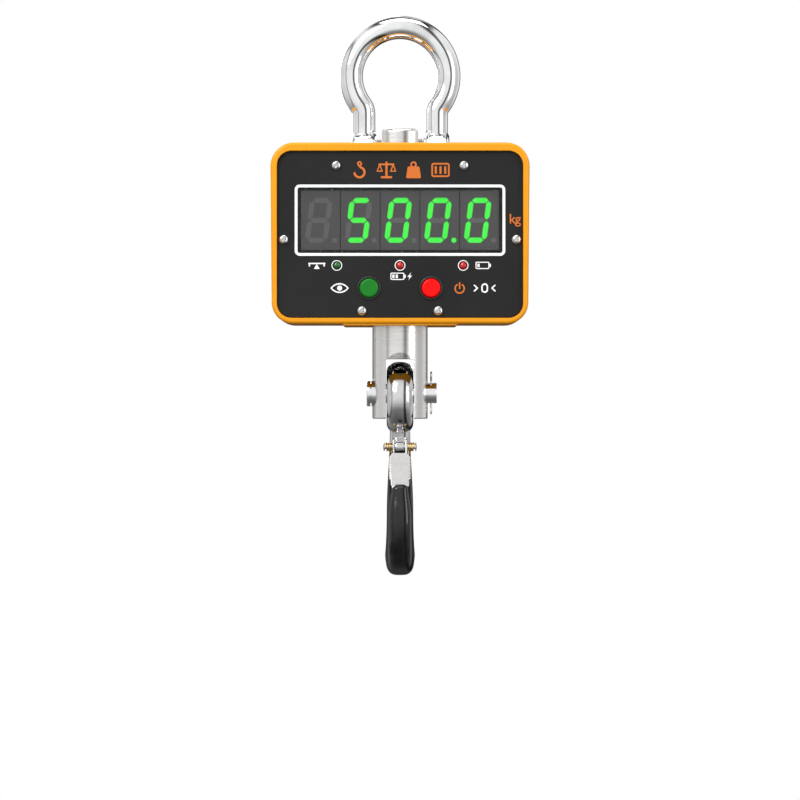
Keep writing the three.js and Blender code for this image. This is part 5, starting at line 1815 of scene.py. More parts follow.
    def rear(self) -> Form:
        """The rear shell: bolt recesses, the battery bay with its hinged door's seat, the socket.

        Returns:
            The form.
        """
        inner = Form.slab(self.outline(self.wall), Axis.Y, (0, self.door_inner))
        shell = self.blank(1).cut(inner)
        left, right, low, high = self.bay
        bay_walls = Form.block(
            (left - 2, right + 2), (self.bay_floor - 2, self.door_inner + 0.5), (low - 2, high + 2))
        d_left, d_right, d_low, d_high = self.door
        frame_box = Form.block(
            (d_left - self.knuckle - 5, d_right + 5), (self.door_inner - 4.5, self.door_inner + 0.5),
            (d_low - 5, d_high + 5))
        bosses = Form.rods(11, (self.parting, self.door_inner + 1), self.bolt_places(), 36)
        socket_at = (self.socket[0], 0, self.socket[1])
        socket_boss = Form.rod(18, Axis.Y, (self.door_inner - 2, self.door_inner + 1), socket_at)
        well = self.well_form(self.wall).common(Form.block((-99, 99), (self.parting, 43), (-300, 0)))
        shell.join(well, bay_walls, frame_box, socket_boss, *bosses)
        past = self.half_depth + 1
        hinge = (self.hinge[0], self.hinge[1], 0)
        holes = [
            Form.block((left, right), (self.bay_floor, past), (low, high)),
            Form.slab(
                rounded([
                    (d_left, d_low, 0), (d_right, d_low, 2), (d_right, d_high, 2), (d_left, d_high, 0)]),
                Axis.Y, (self.door_inner - GAP, past)),
            Form.rod(2 * self.knuckle + 0.6, Axis.Z, (d_low, d_high), hinge),
            Form.block(
                (d_left - self.knuckle - 0.3, d_left + self.knuckle), (self.hinge[1], past),
                (d_low, d_high)),
            Form.rod(2.6, Axis.Z, (d_low - 3.3, d_high + 3.3), hinge, steps=24),
            Form.rod(5.6, Axis.Y, (self.door_inner - 5, past), (self.thumb_x, 0, -151), steps=32),
            Form.rod(9.5, Axis.Y, (self.door_inner - 3, past), socket_at),
            Form.rod(14.5, Axis.Y, (42, past), socket_at),
        ]
        recesses = Form.rods(9.5, (self.half_depth - self.bolt_recess, past), self.bolt_places(), 40)
        return self.rim_softened(shell.cut(*self.shared_cuts(1), *holes, *recesses))

    def gasket(self, side: int) -> Form:
        """One side of the rubber gasket between the shells, with a bead along its middle.

        Args:
            side: -1 for the front or left one, 1 for the rear or right one.

        Returns:
            The form.
        """
        ring = Form.slab(self.outline(0.6), Axis.Y, (-0.7, 0.7))
        ring.cut(
            Form.slab(self.outline(2.6), Axis.Y, (-1, 1)),
            Form.block((-53, 53), (-1, 1), (-80, -70)),
            Form.block((-31, 31), (-1, 1), (-200, -190)),
            Form.block(sorted((0, -side * 99)), (-1, 1), (-200, -70)),
        )
        return ring.edged(0.25, 2)

    def upper_seal(self) -> Form:
        """The lipped seal in the well's floor.

        Returns:
            The form.
        """
        near, far = self.seal_r
        top = self.well_floor + 1.6
        profile = [
            (near, -113), (far, -113), (far, -109.7), (far + 2.4, -109.7),
            *arc((far + 1.8, top - 0.6), 0.6, 0, 90, 5), (near + 0.5, top), (near, top - 0.5), (near, -113),
        ]
        return Form.turned(profile, steps=72)

    def lower_seal(self) -> Form:
        """The plain seal round the bar in the housing's foot.

        Returns:
            The form.
        """
        near, far = self.seal_r
        low, high = -197.5, -193.6
        profile = [(near, low + 0.4), (near + 0.4, low), (far - 0.4, low), (far, low + 0.4), (far, high),
                   (near, high), (near, low + 0.4)]
        return Form.turned(profile, steps=72)

    def collar(self) -> Form:
        """The clamped collar that carries the housing on the bar.

        Returns:
            The form.
        """
        low, high = self.collar_levels
        near, far, edge = self.seal_r[0], 31.0, 0.4
        profile = [(near, low), (far - edge, low), (far, low + edge), (far, high - edge),
                   (far - edge, high), (near, high), (near, low)]
        holes = [
            Form.rod(5.5, Axis.Z, (low - 1, high + 1), (0, side * self.collar_bolt, 0), steps=28)
            for side in (-1, 1)
        ]
        return Form.turned(profile, steps=72).cut(*holes)

    def bolts(self) -> list[Piece]:
        """The four shell bolts and the collar's two.

        Returns:
            The pieces.
        """
        made = []
        head_seat = self.half_depth - self.bolt_recess + GAP
        places = [(x, z) for z in self.bolt_levels for x in (-self.bolt_x, self.bolt_x)]
        for number, (x, z) in enumerate(places, 1):
            bolt = socket_bolt(5, 8.5, head_seat + 13, 2.6).moved(
                Matrix.Translation((x, head_seat, z)) @ Matrix.Rotation(math.radians(-90), 4, "X"))
            made.append(Piece(f"casing_bolt_{number}", bolt, BRIGHT, Body.SCALE, (f"shell_bolt_{number}",)))
        seat = self.foot_z - self.boss_thick + 2.6
        for name, side in (("front", -1), ("rear", 1)):
            bolt = socket_bolt(5, 8.5, self.collar_levels[1] - seat, 2.6).moved(
                Matrix.Translation((0, side * self.collar_bolt, seat)) @ Matrix.Rotation(math.pi, 4, "X"))
            made.append(
                Piece(f"{name}_collar_screw", bolt, BRIGHT, Body.SCALE, (f"collar_bolt_{name}",)))
        return made

    def pieces(self) -> list[Piece]:
        """All the housing's pieces."""
        scale = Body.SCALE
        return [
            Piece("front_casing", self.front(), ORANGE, scale, ("front_shell",)),
            Piece("rear_casing", self.rear(), ORANGE, scale, ("rear_shell",)),
            Piece("left_gasket", self.gasket(-1), RUBBER, scale, ("gasket_left",)),
            Piece("right_gasket", self.gasket(1), RUBBER, scale, ("gasket_right",)),
            Piece("lipped_seal", self.upper_seal(), RUBBER, scale, ("seal_upper",)),
            Piece("foot_seal", self.lower_seal(), RUBBER, scale, ("seal_lower",)),
            Piece("bar_collar", self.collar(), PRESSED, scale, ("cell_collar",)),
            *self.bolts(),
        ]


# ---- Display unit -------------------------------------------------------------------------


class Digit(Enum):
    """The lit segments of each figure: a top, b and c right, d foot, e and f left, g middle."""

    BLANK = ""
    ZERO = "abcdef"
    FIVE = "acdfg"


@dataclass
class DisplayUnit:
    """The front panel with its printed symbols, window, digits, lamps, buttons and screws."""

    screw_places = tuple(
        (side * x, z) for x, z in ((43.4, -89), (79.1, -139.4), (25.9, -187.8)) for side in (-1, 1))
    sheet: tuple[float, float, float] = (166.6, 112.9, 9.6)
    sheet_z: float = -135.95
    face_y: float = -41.0
    back_y: float = -39.0
    window: Point = (139.0, 44.2)
    window_z: float = -126.3
    pitch: float = 27.0
    module: Point = (26.7, 40.7)
    module_y: float = -38.7
    module_deep: float = 6.8
    figure: Point = (15.6, 30.5)
    stroke: float = 3.5
    slant: float = 0.13
    lamp_x: float = 42.9
    lamp_z: float = -157.0
    button_x: float = 21.1
    button_z: float = -172.4
    figures: tuple[Digit, ...] = (Digit.BLANK, Digit.FIVE, Digit.ZERO, Digit.ZERO, Digit.ZERO)
    point_after: int = 3

    def panel(self) -> Form:
        """The panel sheet with its holes.

        Returns:
            The form.
        """
        sheet = Form.slab(rounded_box(*self.sheet, (0, self.sheet_z)), Axis.Y, (self.face_y, self.back_y))
        sheet.edged(0.3, 2, lambda p: p.y < self.face_y + 0.01)
        through = (self.face_y - 1, self.back_y + 1)
        lamps = Form.rods(5.6, through, [(x, self.lamp_z) for x in self.lamp_places()], 36)
        bezels = [Form.rod(15.2, Axis.Y, through, (x, 0, self.button_z)) for x in self.button_places()]
        screws = Form.rods(3.5, through, self.screw_places, 24)
        hole = Form.slab(rounded_box(*self.window, 1.5, (0, self.window_z)), Axis.Y, through)
        return sheet.cut(hole, *lamps, *bezels, *screws)

    def lamp_places(self) -> Place:
        """Where the three lamps stand in X."""
        return (-self.lamp_x, 0, self.lamp_x)

    def button_places(self) -> Point:
        """Where the two buttons stand in X."""
        return (-self.button_x, self.button_x)

    def pane(self) -> Form:
        """The window's pane.

        Returns:
            The form.
        """
        width, height = (side - 0.6 for side in self.window)
        outline = rounded_box(width, height, 1.2, (0, self.window_z))
        return Form.slab(outline, Axis.Y, (self.face_y + 0.3, self.back_y)).edged(0.2, 2)

    def segment(self, letter: str) -> list[Point]:
        """A segment's outline about the figure's middle, before the slant.

        Args:
            letter: the segment, a to g.

        Returns:
            A long hexagon with mitred ends.
        """
        width, height = self.figure
        half, slit = self.stroke / 2, 0.45
        x, z = width / 2 - half, height / 2 - half
        if letter in "adg":
            level = {"a": z, "d": -z, "g": 0}[letter]
            reach = x - slit
            return [
                (-reach, level), (-reach + half, level - half), (reach - half, level - half),
                (reach, level), (reach - half, level + half), (-reach + half, level + half),
            ]
        side = x if letter in "bc" else -x
        low, high = (slit, z - slit) if letter in "bf" else (-z + slit, -slit)
        return [(side, low), (side + half, low + half), (side + half, high - half), (side, high),
                (side - half, high - half), (side - half, low + half)]

    def digit(self, number: int) -> Form:
        """A digit module: its case, a frame line, seven segments and a point, set into its face.

        Args:
            number: its place from the left, from 0.

        Returns:
            The module, with its lit segments painted 2 and the others 1.
        """
        centre = (number - 2) * self.pitch
        half, high = self.module[0] / 2, self.module[1] / 2
        face = self.module_y
        case = Form.block(
            (-half, half), (face + 0.12, face + self.module_deep), (-high, high)).edged(0.35, 2)
        plate_line = rounded_box(self.module[0] - 1.6, self.module[1] - 1.6, 1)
        plate = Form.slab(plate_line, Axis.Y, (face + 0.06, face + 1))
        whole = case.beside(plate)
        lit = self.figures[number].value
        for letter in "abcdefg":
            outline = [(x + self.slant * z - 1.2, z) for x, z in self.segment(letter)]
            bar = Form.slab(outline, Axis.Y, (face, face + 0.8))
            whole.beside(bar.painted(2 if letter in lit else 1))
        point_at = (9.6, 0, 1.7 - self.figure[1] / 2)
        point = Form.rod(self.stroke, Axis.Y, (face, face + 0.8), point_at, steps=24)
        whole.beside(point.painted(2 if number == self.point_after else 1))
        back = face + self.module_deep
        feet = [(x, z) for x in (-8, -4, 0, 4, 8) for z in (-high + 3, high - 3)]
        pins = Form.rods(0.6, (back - 0.05, back + 0.2), feet, 8)
        return whole.beside(*pins).moved(Matrix.Translation((centre, 0, self.window_z)))

    def lamp(self, x: float) -> Form:
        """A lamp: a domed lens on a stem down to its flanged foot.

        Args:
            x: its middle in X.

        Returns:
            The form.
        """
        radius, tip, foot = 2.5, self.face_y - 0.6, -31.9
        dome = [(radius * math.sin(t), tip + 1.6 * (1 - math.cos(t))) for t in
                (math.radians(90 * i / 8) for i in range(9))]
        profile = [*dome, (radius, foot - 1), (radius + 0.5, foot - 1), (radius + 0.5, foot), (0, foot)]
        return Form.turned(profile, Axis.Y, (x, 0, self.lamp_z), 40)

    def cap(self, x: float) -> Form:
        """A button: crowned cap, skirt with a collar that keeps it in, and stem.

        Args:
            x: its middle in X.

        Returns:
            The form.
        """
        face, collar, end = self.face_y - 2.4, self.back_y + 1, -37.7
        crown = arc((4.9, face + 1.6), 1.6, -90, 0, 8)
        profile = [
            (0, face + 0.25), (3.4, face + 0.1), *crown, (6.5, collar + GAP), (7.3, collar + GAP),
            (7.3, collar + 1.3), (2, collar + 1.3), (2, end), (0, end),
        ]
        return Form.turned(profile, Axis.Y, (x, 0, self.button_z), 64)

    def bezel(self, x: float) -> Form:
        """The ring that guides a button, with a dished inner lip.

        Args:
            x: its middle in X.

        Returns:
            The form.
        """
        lip, bore, outer, neck = self.face_y - 1.2, 6.8, 8.0, 7.3
        profile = [
            (bore, lip + 0.5), (bore + 0.35, lip + 0.05), *arc((outer - 0.5, lip + 0.5), 0.5, -90, 0, 5),
            (outer, self.face_y - GAP), (neck, self.face_y - GAP), (neck, self.back_y + 0.7),
            (bore, self.back_y + 0.7), (bore, lip + 0.5),
        ]
        return Form.turned(profile, Axis.Y, (x, 0, self.button_z), 64)

    def screw(self, x: float, z: float) -> Form:
        """A pan-head screw with a cross recess.

        Args:
            x: its middle in X.
            z: its middle in Z.

        Returns:
            The form.
        """
        radius, seat = 3.3, self.face_y - GAP
        head = [(0, seat - 1.9), (1.5, seat - 1.85), (2.4, seat - 1.55), (3.05, seat - 0.95)]
        head += [(radius, seat - 0.4), (radius, seat)]
        thread: list[Point] = []
        for i in range(9):
            start = seat + 0.6 + 0.55 * i
            thread += [(1.15, start), (1.5, start + 0.18), (1.5, start + 0.3), (1.15, start + 0.5)]
        profile = [*head, (1.5, seat), *thread, (1.0, seat + 5.8), (0, seat + 6)]
        body = Form.turned(profile, Axis.Y, (x, 0, z), 48)
        bars = [
            Form.block((x - a, x + a), (seat - 3, seat - 0.85), (z - b, z + b)).edged(0.12, 2)
            for a, b in ((1.95, 0.42), (0.42, 1.95))
        ]
        turn = Matrix.Translation((x, 0, z)) @ Matrix.Rotation(math.radians(12 * x), 4, "Y")
        turn = turn @ Matrix.Translation((-x, 0, -z))
        cross = bars[0].join(bars[1]).moved(turn)
        return body.cut(cross)

    def pieces(self) -> list[Piece]:
        """All the display unit's pieces that replace CAD nodes.

        Returns:
            The pieces.
        """
        scale = Body.SCALE
        made = [
            Piece("printed_panel", self.panel(), FOIL, scale, ("front_panel",)),
            Piece("window_pane", self.pane(), WINDOW, scale, ("display_window",)),
        ]
        for i in range(len(self.figures)):
            made.append(
                Piece(f"figure_{i + 1}", self.digit(i), MODULE, scale, (f"digit_{i + 1}",), (UNLIT, LIT)))
        lenses = (("stable", GREEN_LENS), ("charge", RED_LENS), ("low", RED_LENS))
        for (name, lens), x in zip(lenses, self.lamp_places(), strict=True):
            made.append(Piece(f"{name}_lamp_lens", self.lamp(x), lens, scale, (f"lamp_{name}",)))
        buttons = (("view", GREEN_CAP, Body.VIEW_BUTTON), ("power", RED_CAP, Body.POWER_BUTTON))
        for (name, finish, body), x in zip(buttons, self.button_places(), strict=True):
            made.append(Piece(f"{name}_push_cap", self.cap(x), finish, body, (f"button_{name}",)))
            made.append(Piece(f"{name}_bezel_ring", self.bezel(x), BLACK, scale, (f"bezel_{name}",)))
        for number, (x, z) in enumerate(self.screw_places, 1):
            made.append(
                Piece(f"cross_screw_{number}", self.screw(x, z), BRIGHT, scale, (f"panel_screw_{number}",)))
        return made


# ---- Printed symbols ----------------------------------------------------------------------


def capsule(a: Point, b: Point, width: float) -> list[Point]:
    """The outline of a straight stroke with round ends.

    Args:
        a: one end.
        b: the other end.
        width: how wide it is.

    Returns:
        The points in order.
    """
    heading = math.degrees(math.atan2(b[1] - a[1], b[0] - a[0]))
    start = arc(a, width / 2, heading + 90, heading + 270, 8)
    return [*start, *arc(b, width / 2, heading - 90, heading + 90, 8)]


@dataclass
class Artwork:
    """What is printed on the panel: the window's frame, lamp rings and plain pictograms."""

    face_y: float = -41.0
    film: float = 0.07
    line: float = 1.15
    title_z: float = -92.2
    title_x: tuple[float, ...] = (-27.5, -9.2, 9.2, 27.5)
    unit_at: Place = (74.0, -41.02, -128.4)
    unit_size: float = 9.2
    display: DisplayUnit = field(default_factory=DisplayUnit)

    def reach(self) -> Reach:
        """The film's outer face and the face that is bedded in the panel."""
        return (self.face_y - self.film, self.face_y + 0.03)

    def shape(self, outline: Sequence[Point]) -> Form:
        """A filled outline."""
        return Form.slab(outline, Axis.Y, self.reach())

    def stroke(self, points: Sequence[Point], width: float | None = None) -> Form:
        """A line through points, with round ends and joints.

        Args:
            points: the points it runs through.
            width: how wide it is.

        Returns:
            The form.
        """
        width = width or self.line
        legs = [self.shape(capsule(a, b, width)) for a, b in zip(points, points[1:], strict=False)]
        return legs[0].join(*legs[1:]) if len(legs) > 1 else legs[0]

    def ring(self, centre: Point, outer: float, inner: float) -> Form:
        """A flat ring of two diameters.

        Args:
            centre: its middle in X and Z.
            outer: the outer diameter.
            inner: the inner diameter.

        Returns:
            The form.
        """
        low, high = self.reach()
        at = (centre[0], 0, centre[1])
        disc = Form.rod(outer, Axis.Y, (low, high), at, steps=40)
        return disc.cut(Form.rod(inner, Axis.Y, (low - 1, high + 1), at, steps=40))

    def box_line(self, centre: Point, width: float, height: float, radius: float, line: float) -> Form:
        """A rounded rectangle drawn as a line.

        Args:
            centre: its middle in X and Z.
            width: how wide it is.
            height: how tall it is.
            radius: its corners' radius.
            line: how thick the line is.

        Returns:
            The form.
        """
        low, high = self.reach()
        inside = rounded_box(width - 2 * line, height - 2 * line, max(radius - line, 0.2), centre)
        return self.shape(rounded_box(width, height, radius, centre)).cut(
            Form.slab(inside, Axis.Y, (low - 1, high + 1)))

    def hook_sign(self, x: float) -> Form:
        """A crane's hook.

        Args:
            x: its middle in X.

        Returns:
            The form.
        """
        z = self.title_z
        bend = arc((x, z - 1.6), 3.4, 75, -170, 18)
        return self.ring((x, z + 4.3), 3.4, 1.3).join(self.stroke([(x, z + 2.8), *bend], 1.5))

    def balance_sign(self, x: float) -> Form:
        """A balance with two pans.

        Args:
            x: its middle in X.

        Returns:
            The form.
        """
        z = self.title_z
        pans = [
            self.stroke([(x + side * 4.6, z + 3.6), (x + side * 6.3, z - 0.8), (x + side * 2.9, z - 0.8),
                         (x + side * 4.6, z + 3.6)], 0.8)
            for side in (-1, 1)
        ]
        post = self.stroke([(x, z + 5), (x, z - 4.8)], 1.5)
        beam = self.stroke([(x - 4.8, z + 3.8), (x + 4.8, z + 3.8)], 1.2)
        base = self.stroke([(x - 3.2, z - 4.9), (x + 3.2, z - 4.9)], 1.5)
        return post.join(beam, base, *pans)

    def weight_sign(self, x: float) -> Form:
        """A test weight with its grip.

        Args:
            x: its middle in X.

        Returns:
            The form.
        """
        z = self.title_z
        body = [(x - 5.2, z - 5.6), (x + 5.2, z - 5.6), (x + 3.9, z + 2.4), (x - 3.9, z + 2.4)]
        block = self.shape(rounded([(*p, 0.9) for p in body], 4))
        return block.join(self.ring((x, z + 3.6), 4.4, 2.2))

    def display_sign(self, x: float) -> Form:
        """A display with its figures.

        Args:
            x: its middle in X.

        Returns:
            The form.
        """
        z = self.title_z
        case = self.box_line((x, z), 12.4, 9.6, 1.6, 1.1)
        bars = [self.stroke([(x + dx, z - 2), (x + dx, z + 2)], 1.4) for dx in (-3.2, 0, 3.2)]
        return case.join(*bars)

    def battery_sign(self, centre: Point, bars: int) -> Form:
        """A small battery with a number of bars of charge.

        Args:
            centre: its middle in X and Z.
            bars: how many bars are filled.

        Returns:
            The form.
        """
        x, z = centre
        cell = self.box_line(centre, 9.4, 4.9, 0.8, 0.65)
        nose = self.shape(rounded_box(1.2, 2.2, 0.3, (x + 5.1, z)))
        fill = [self.shape(rounded_box(1.5, 2.4, 0.2, (x - 2.7 + 2.3 * i, z))) for i in range(bars)]
        return cell.join(nose, *fill)

    def bolt_sign(self, centre: Point) -> Form:
        """A small lightning bolt."""
        x, z = centre
        return self.shape([(x + 0.9, z + 2.7), (x - 1.5, z - 0.4), (x - 0.1, z - 0.4), (x - 0.9, z - 2.7),
                           (x + 1.5, z + 0.5), (x + 0.1, z + 0.5)])

    def steady_sign(self, centre: Point) -> Form:
        """A level beam on its pivot.

        Args:
            centre: its middle in X and Z.

        Returns:
            The form.
        """
        x, z = centre
        beam = self.stroke([(x - 5.4, z + 1.3), (x + 5.4, z + 1.3)], 0.9)
        pans = [self.stroke([(x + s * 5, z + 1.3), (x + s * 5, z - 0.4)], 0.9) for s in (-1, 1)]
        return beam.join(self.shape([(x, z + 1), (x - 2, z - 2.4), (x + 2, z - 2.4)]), *pans)

    def eye_sign(self, centre: Point) -> Form:
        """An open eye.

        Args:
            centre: its middle in X and Z.

        Returns:
            The form.
        """
        x, z = centre
        lids = arc((x, z - 4), 6.9, 35, 145, 14) + arc((x, z + 4), 6.9, 215, 325, 14)
        pupil = Form.rod(3.4, Axis.Y, self.reach(), (x, 0, z), steps=32)
        return self.stroke([*lids, lids[0]], 0.9).join(pupil)

    def power_sign(self, centre: Point) -> Form:
        """An open ring with an upright bar."""
        x, z = centre
        return self.stroke(arc((x, z - 0.3), 3.1, 125, 415, 24), 1.0).join(
            self.stroke([(x, z + 3.6), (x, z - 0.2)], 1.0))

    def zero_sign(self, centre: Point) -> Form:
        """A zero between two arrows.

        Args:
            centre: its middle in X and Z.

        Returns:
            The form.
        """
        x, z = centre
        zero = self.box_line(centre, 4.6, 6.4, 2.2, 1.0)
        arrows = [
            self.stroke([(x + side * 7, z + 1.9), (x + side * 4.9, z), (x + side * 7, z - 1.9)], 0.9)
            for side in (-1, 1)
        ]
        return zero.join(*arrows)

    def unit(self) -> Form:
        """The unit, kg, to the right of the window.

        Returns:
            The form.
        """
        text = bpy.data.curves.new("unit", "FONT")
        text.body = "kg"
        text.size = self.unit_size
        text.space_character = 0.95
        text.extrude = 0.05
        text.offset = 0.08
        holder = bpy.data.objects.new("unit", text)
        bpy.context.scene.collection.objects.link(holder)
        mesh = baked(holder)
        bpy.data.curves.remove(text)
        upright = Matrix.Rotation(math.radians(90), 4, "X")
        return Form(mesh)._closed(Matrix.Translation(self.unit_at) @ upright)

    def white(self) -> list[tuple[str, Form]]:
        """The white symbols and what they are called.

        Returns:
            Each name with its form.
        """
        lamp_z, button_z = self.display.lamp_z, self.display.button_z
        rings = [self.ring((x, lamp_z), 7.2, 6.1) for x in self.display.lamp_places()]
        charging = self.battery_sign((-1.8, -164.4), 2).beside(self.bolt_sign((6.6, -164.4)))
        return [
            ("window_frame_line", self.box_line((0, self.display.window_z), 143.0, 48.4, 3.5, 1.9)),
            ("lamp_rings", rings[0].beside(*rings[1:])),
            ("steady_sign", self.steady_sign((-56.5, lamp_z))),
            ("charging_sign", charging),
            ("low_battery_sign", self.battery_sign((56, lamp_z), 1)),
            ("view_sign", self.eye_sign((-41, button_z))),
            ("zero_sign", self.zero_sign((57.5, button_z))),
        ]

    def orange(self) -> list[tuple[str, Form]]:
        """The orange symbols and what they are called.

        Returns:
            Each name with its form.
        """
        signs = (self.hook_sign, self.balance_sign, self.weight_sign, self.display_sign)
        names = ("hook_sign", "balance_sign", "weight_sign", "display_sign")
        title = [(name, sign(x)) for name, sign, x in zip(names, signs, self.title_x, strict=True)]
        power = self.power_sign((40.5, self.display.button_z))
        return [*title, ("unit_kg", self.unit()), ("power_sign", power)]

    def pieces(self) -> list[Piece]:
        """Every printed symbol."""
        return [
            *(Piece(name, form, WHITE_INK, Body.SCALE) for name, form in self.white()),
            *(Piece(name, form, ORANGE_INK, Body.SCALE) for name, form in self.orange()),
        ]


# ---- Boards and cable ---------------------------------------------------------------------


@dataclass
class Electronics:
    """The two circuit boards on their posts, the switches and the sensor's cable."""

    display_y: float = -31.6
    main_y: float = -24.8
    thick: float = 1.6
    half_width: float = 80.0
    foot_z: float = -180.0
    display_top: float = -100.0
    main_top: float = -116.0
    post_x: float = 77.0
    post_levels: Point = (-120.0, -172.0)
    button_x: float = 21.1
    button_z: float = -172.4

    def sheet(self, y: float, top: float) -> Form:
        """A bare board with its post holes.

        Args:
            y: its near face in Y.
            top: its top edge in Z.

        Returns:
            The form.
        """
        outline = rounded([(-self.half_width, self.foot_z, 1), (self.half_width, self.foot_z, 1),
                           (self.half_width, top, 1), (-self.half_width, top, 1)], 4)
        posts = [(x, z) for x in (-self.post_x, self.post_x) for z in self.post_levels]
        holes = Form.rods(4.5, (y - 1, y + 3), posts, 24)
        return Form.slab(outline, Axis.Y, (y, y + self.thick)).cut(*holes)

    def chip(self, x: Reach, y: Reach, z: Reach) -> Form:
        """A moulded chip with a row of legs on its two long sides.

        Args:
            x: its reach in X.
            y: its reach in Y.
            z: its reach in Z.

        Returns:
            The form.
        """
        body = Form.block(x, y, z).edged(0.25, 2)
        count = int((x[1] - x[0]) / 1.5)
        step = (x[1] - x[0] - 1) / max(count - 1, 1)
        for i in range(count):
            at = x[0] + 0.5 + i * step
            for level in (z[0] + 0.15, z[1] - 0.65):
                leg = Form.block((at - 0.25, at + 0.25), (y[0] - 0.25, y[0] + 0.9), (level, level + 0.5))
                body.beside(leg.painted(1))
        return body

    def display_board(self) -> Form:
        """The display board with its driver chip.

        Returns:
            The form.
        """
        board = self.sheet(self.display_y, self.display_top)
        back = self.display_y + self.thick
        driver = self.chip((20.2, 33.8), (back + 0.1, back + 2), (-165.8, -158.2))
        for face in driver.mesh.faces:
            face.material_index = 2 if face.material_index == 0 else 1
        return board.beside(driver)

    def main_board(self) -> Form:
        """The main board with its transformer, chips, capacitor and connector.

        Returns:
            The form.
        """
        board = self.sheet(self.main_y, self.main_top)
        back = self.main_y + self.thick
        winding = Form.block((-63.8, -44.2), (back, back + 8.8), (-149.8, -126.2)).edged(1.2, 3)
        converter = Form.block((-39.8, -26.2), (back, back + 2.2), (-149.8, -136.2)).edged(0.3, 2)
        controller = Form.block((44.2, 57.8), (back, back + 2.8), (-145.8, -132.2)).edged(0.3, 2)
        can = Form.rod(7.9, Axis.Y, (back, back + 9.8), (-52, 0, -165), edge=0.6, steps=40)
        plug = Form.block((30.1, 39.9), (back, back + 4.8), (-169.8, -162.2)).edged(0.3, 2)
        for part in (winding, converter, controller, plug):
            board.beside(part.painted(2))
        return board.beside(can.painted(1))

    def switch(self, x: float) -> Form:
        """A tact switch behind a button."""
        body = Form.block((x - 3.1, x + 3.1), (-34.9, -31.9), (self.button_z - 3.1, self.button_z + 3.1))
        return body.edged(0.3, 2).join(
            Form.rod(3.4, Axis.Y, (-35.8, -33), (x, 0, self.button_z), edge=0.3, steps=32))

    def cable(self) -> Form:
        """The sensor's shielded cable, from the front gauge cover to the connector.

        Returns:
            The form.
        """
        y = self.main_y + self.thick + 2.5
        route = [
            Vector((0, -12.9, -150)), Vector((0, -15.2, -150)), Vector((3, y + 0.4, -152)),
            Vector((12, y, -155)), Vector((22, y, -166)), Vector((29.6, y, -166)),
        ]
        points = []
        for i in range(len(route) - 1):
            before, a, b, after = (route[max(0, min(len(route) - 1, k))] for k in (i - 1, i, i + 1, i + 2))
            for step in range(8):
                t = step / 8
                points.append(0.5 * (2 * a + (b - before) * t + (2 * before - 5 * a + 4 * b - after) * t * t
                                     + (3 * a - before - 3 * b + after) * t**3))
        points.append(route[-1])
        return Form.swept(frames(points, Vector((0.1, 0.2, 1))), 1.2, 20)

    def pieces(self) -> list[Piece]:
        """The boards, switches and cable.

        Returns:
            The pieces.
        """
        scale, parts = Body.SCALE, (BRIGHT, BLACK)
        switches = [
            Piece(f"{name}_tact_switch", self.switch(x), BLACK, scale, (f"switch_{name}",))
            for name, x in (("view", -self.button_x), ("power", self.button_x))
        ]
        return [
            Piece("display_circuit", self.display_board(), BOARD, scale, ("display_board",), parts),
            Piece("main_circuit", self.main_board(), BOARD, scale, ("main_board",), parts),
            Piece("shielded_cable", self.cable(), RUBBER, scale, ("sensor_cable",)),
            *switches,
        ]


# ---- Battery unit -------------------------------------------------------------------------


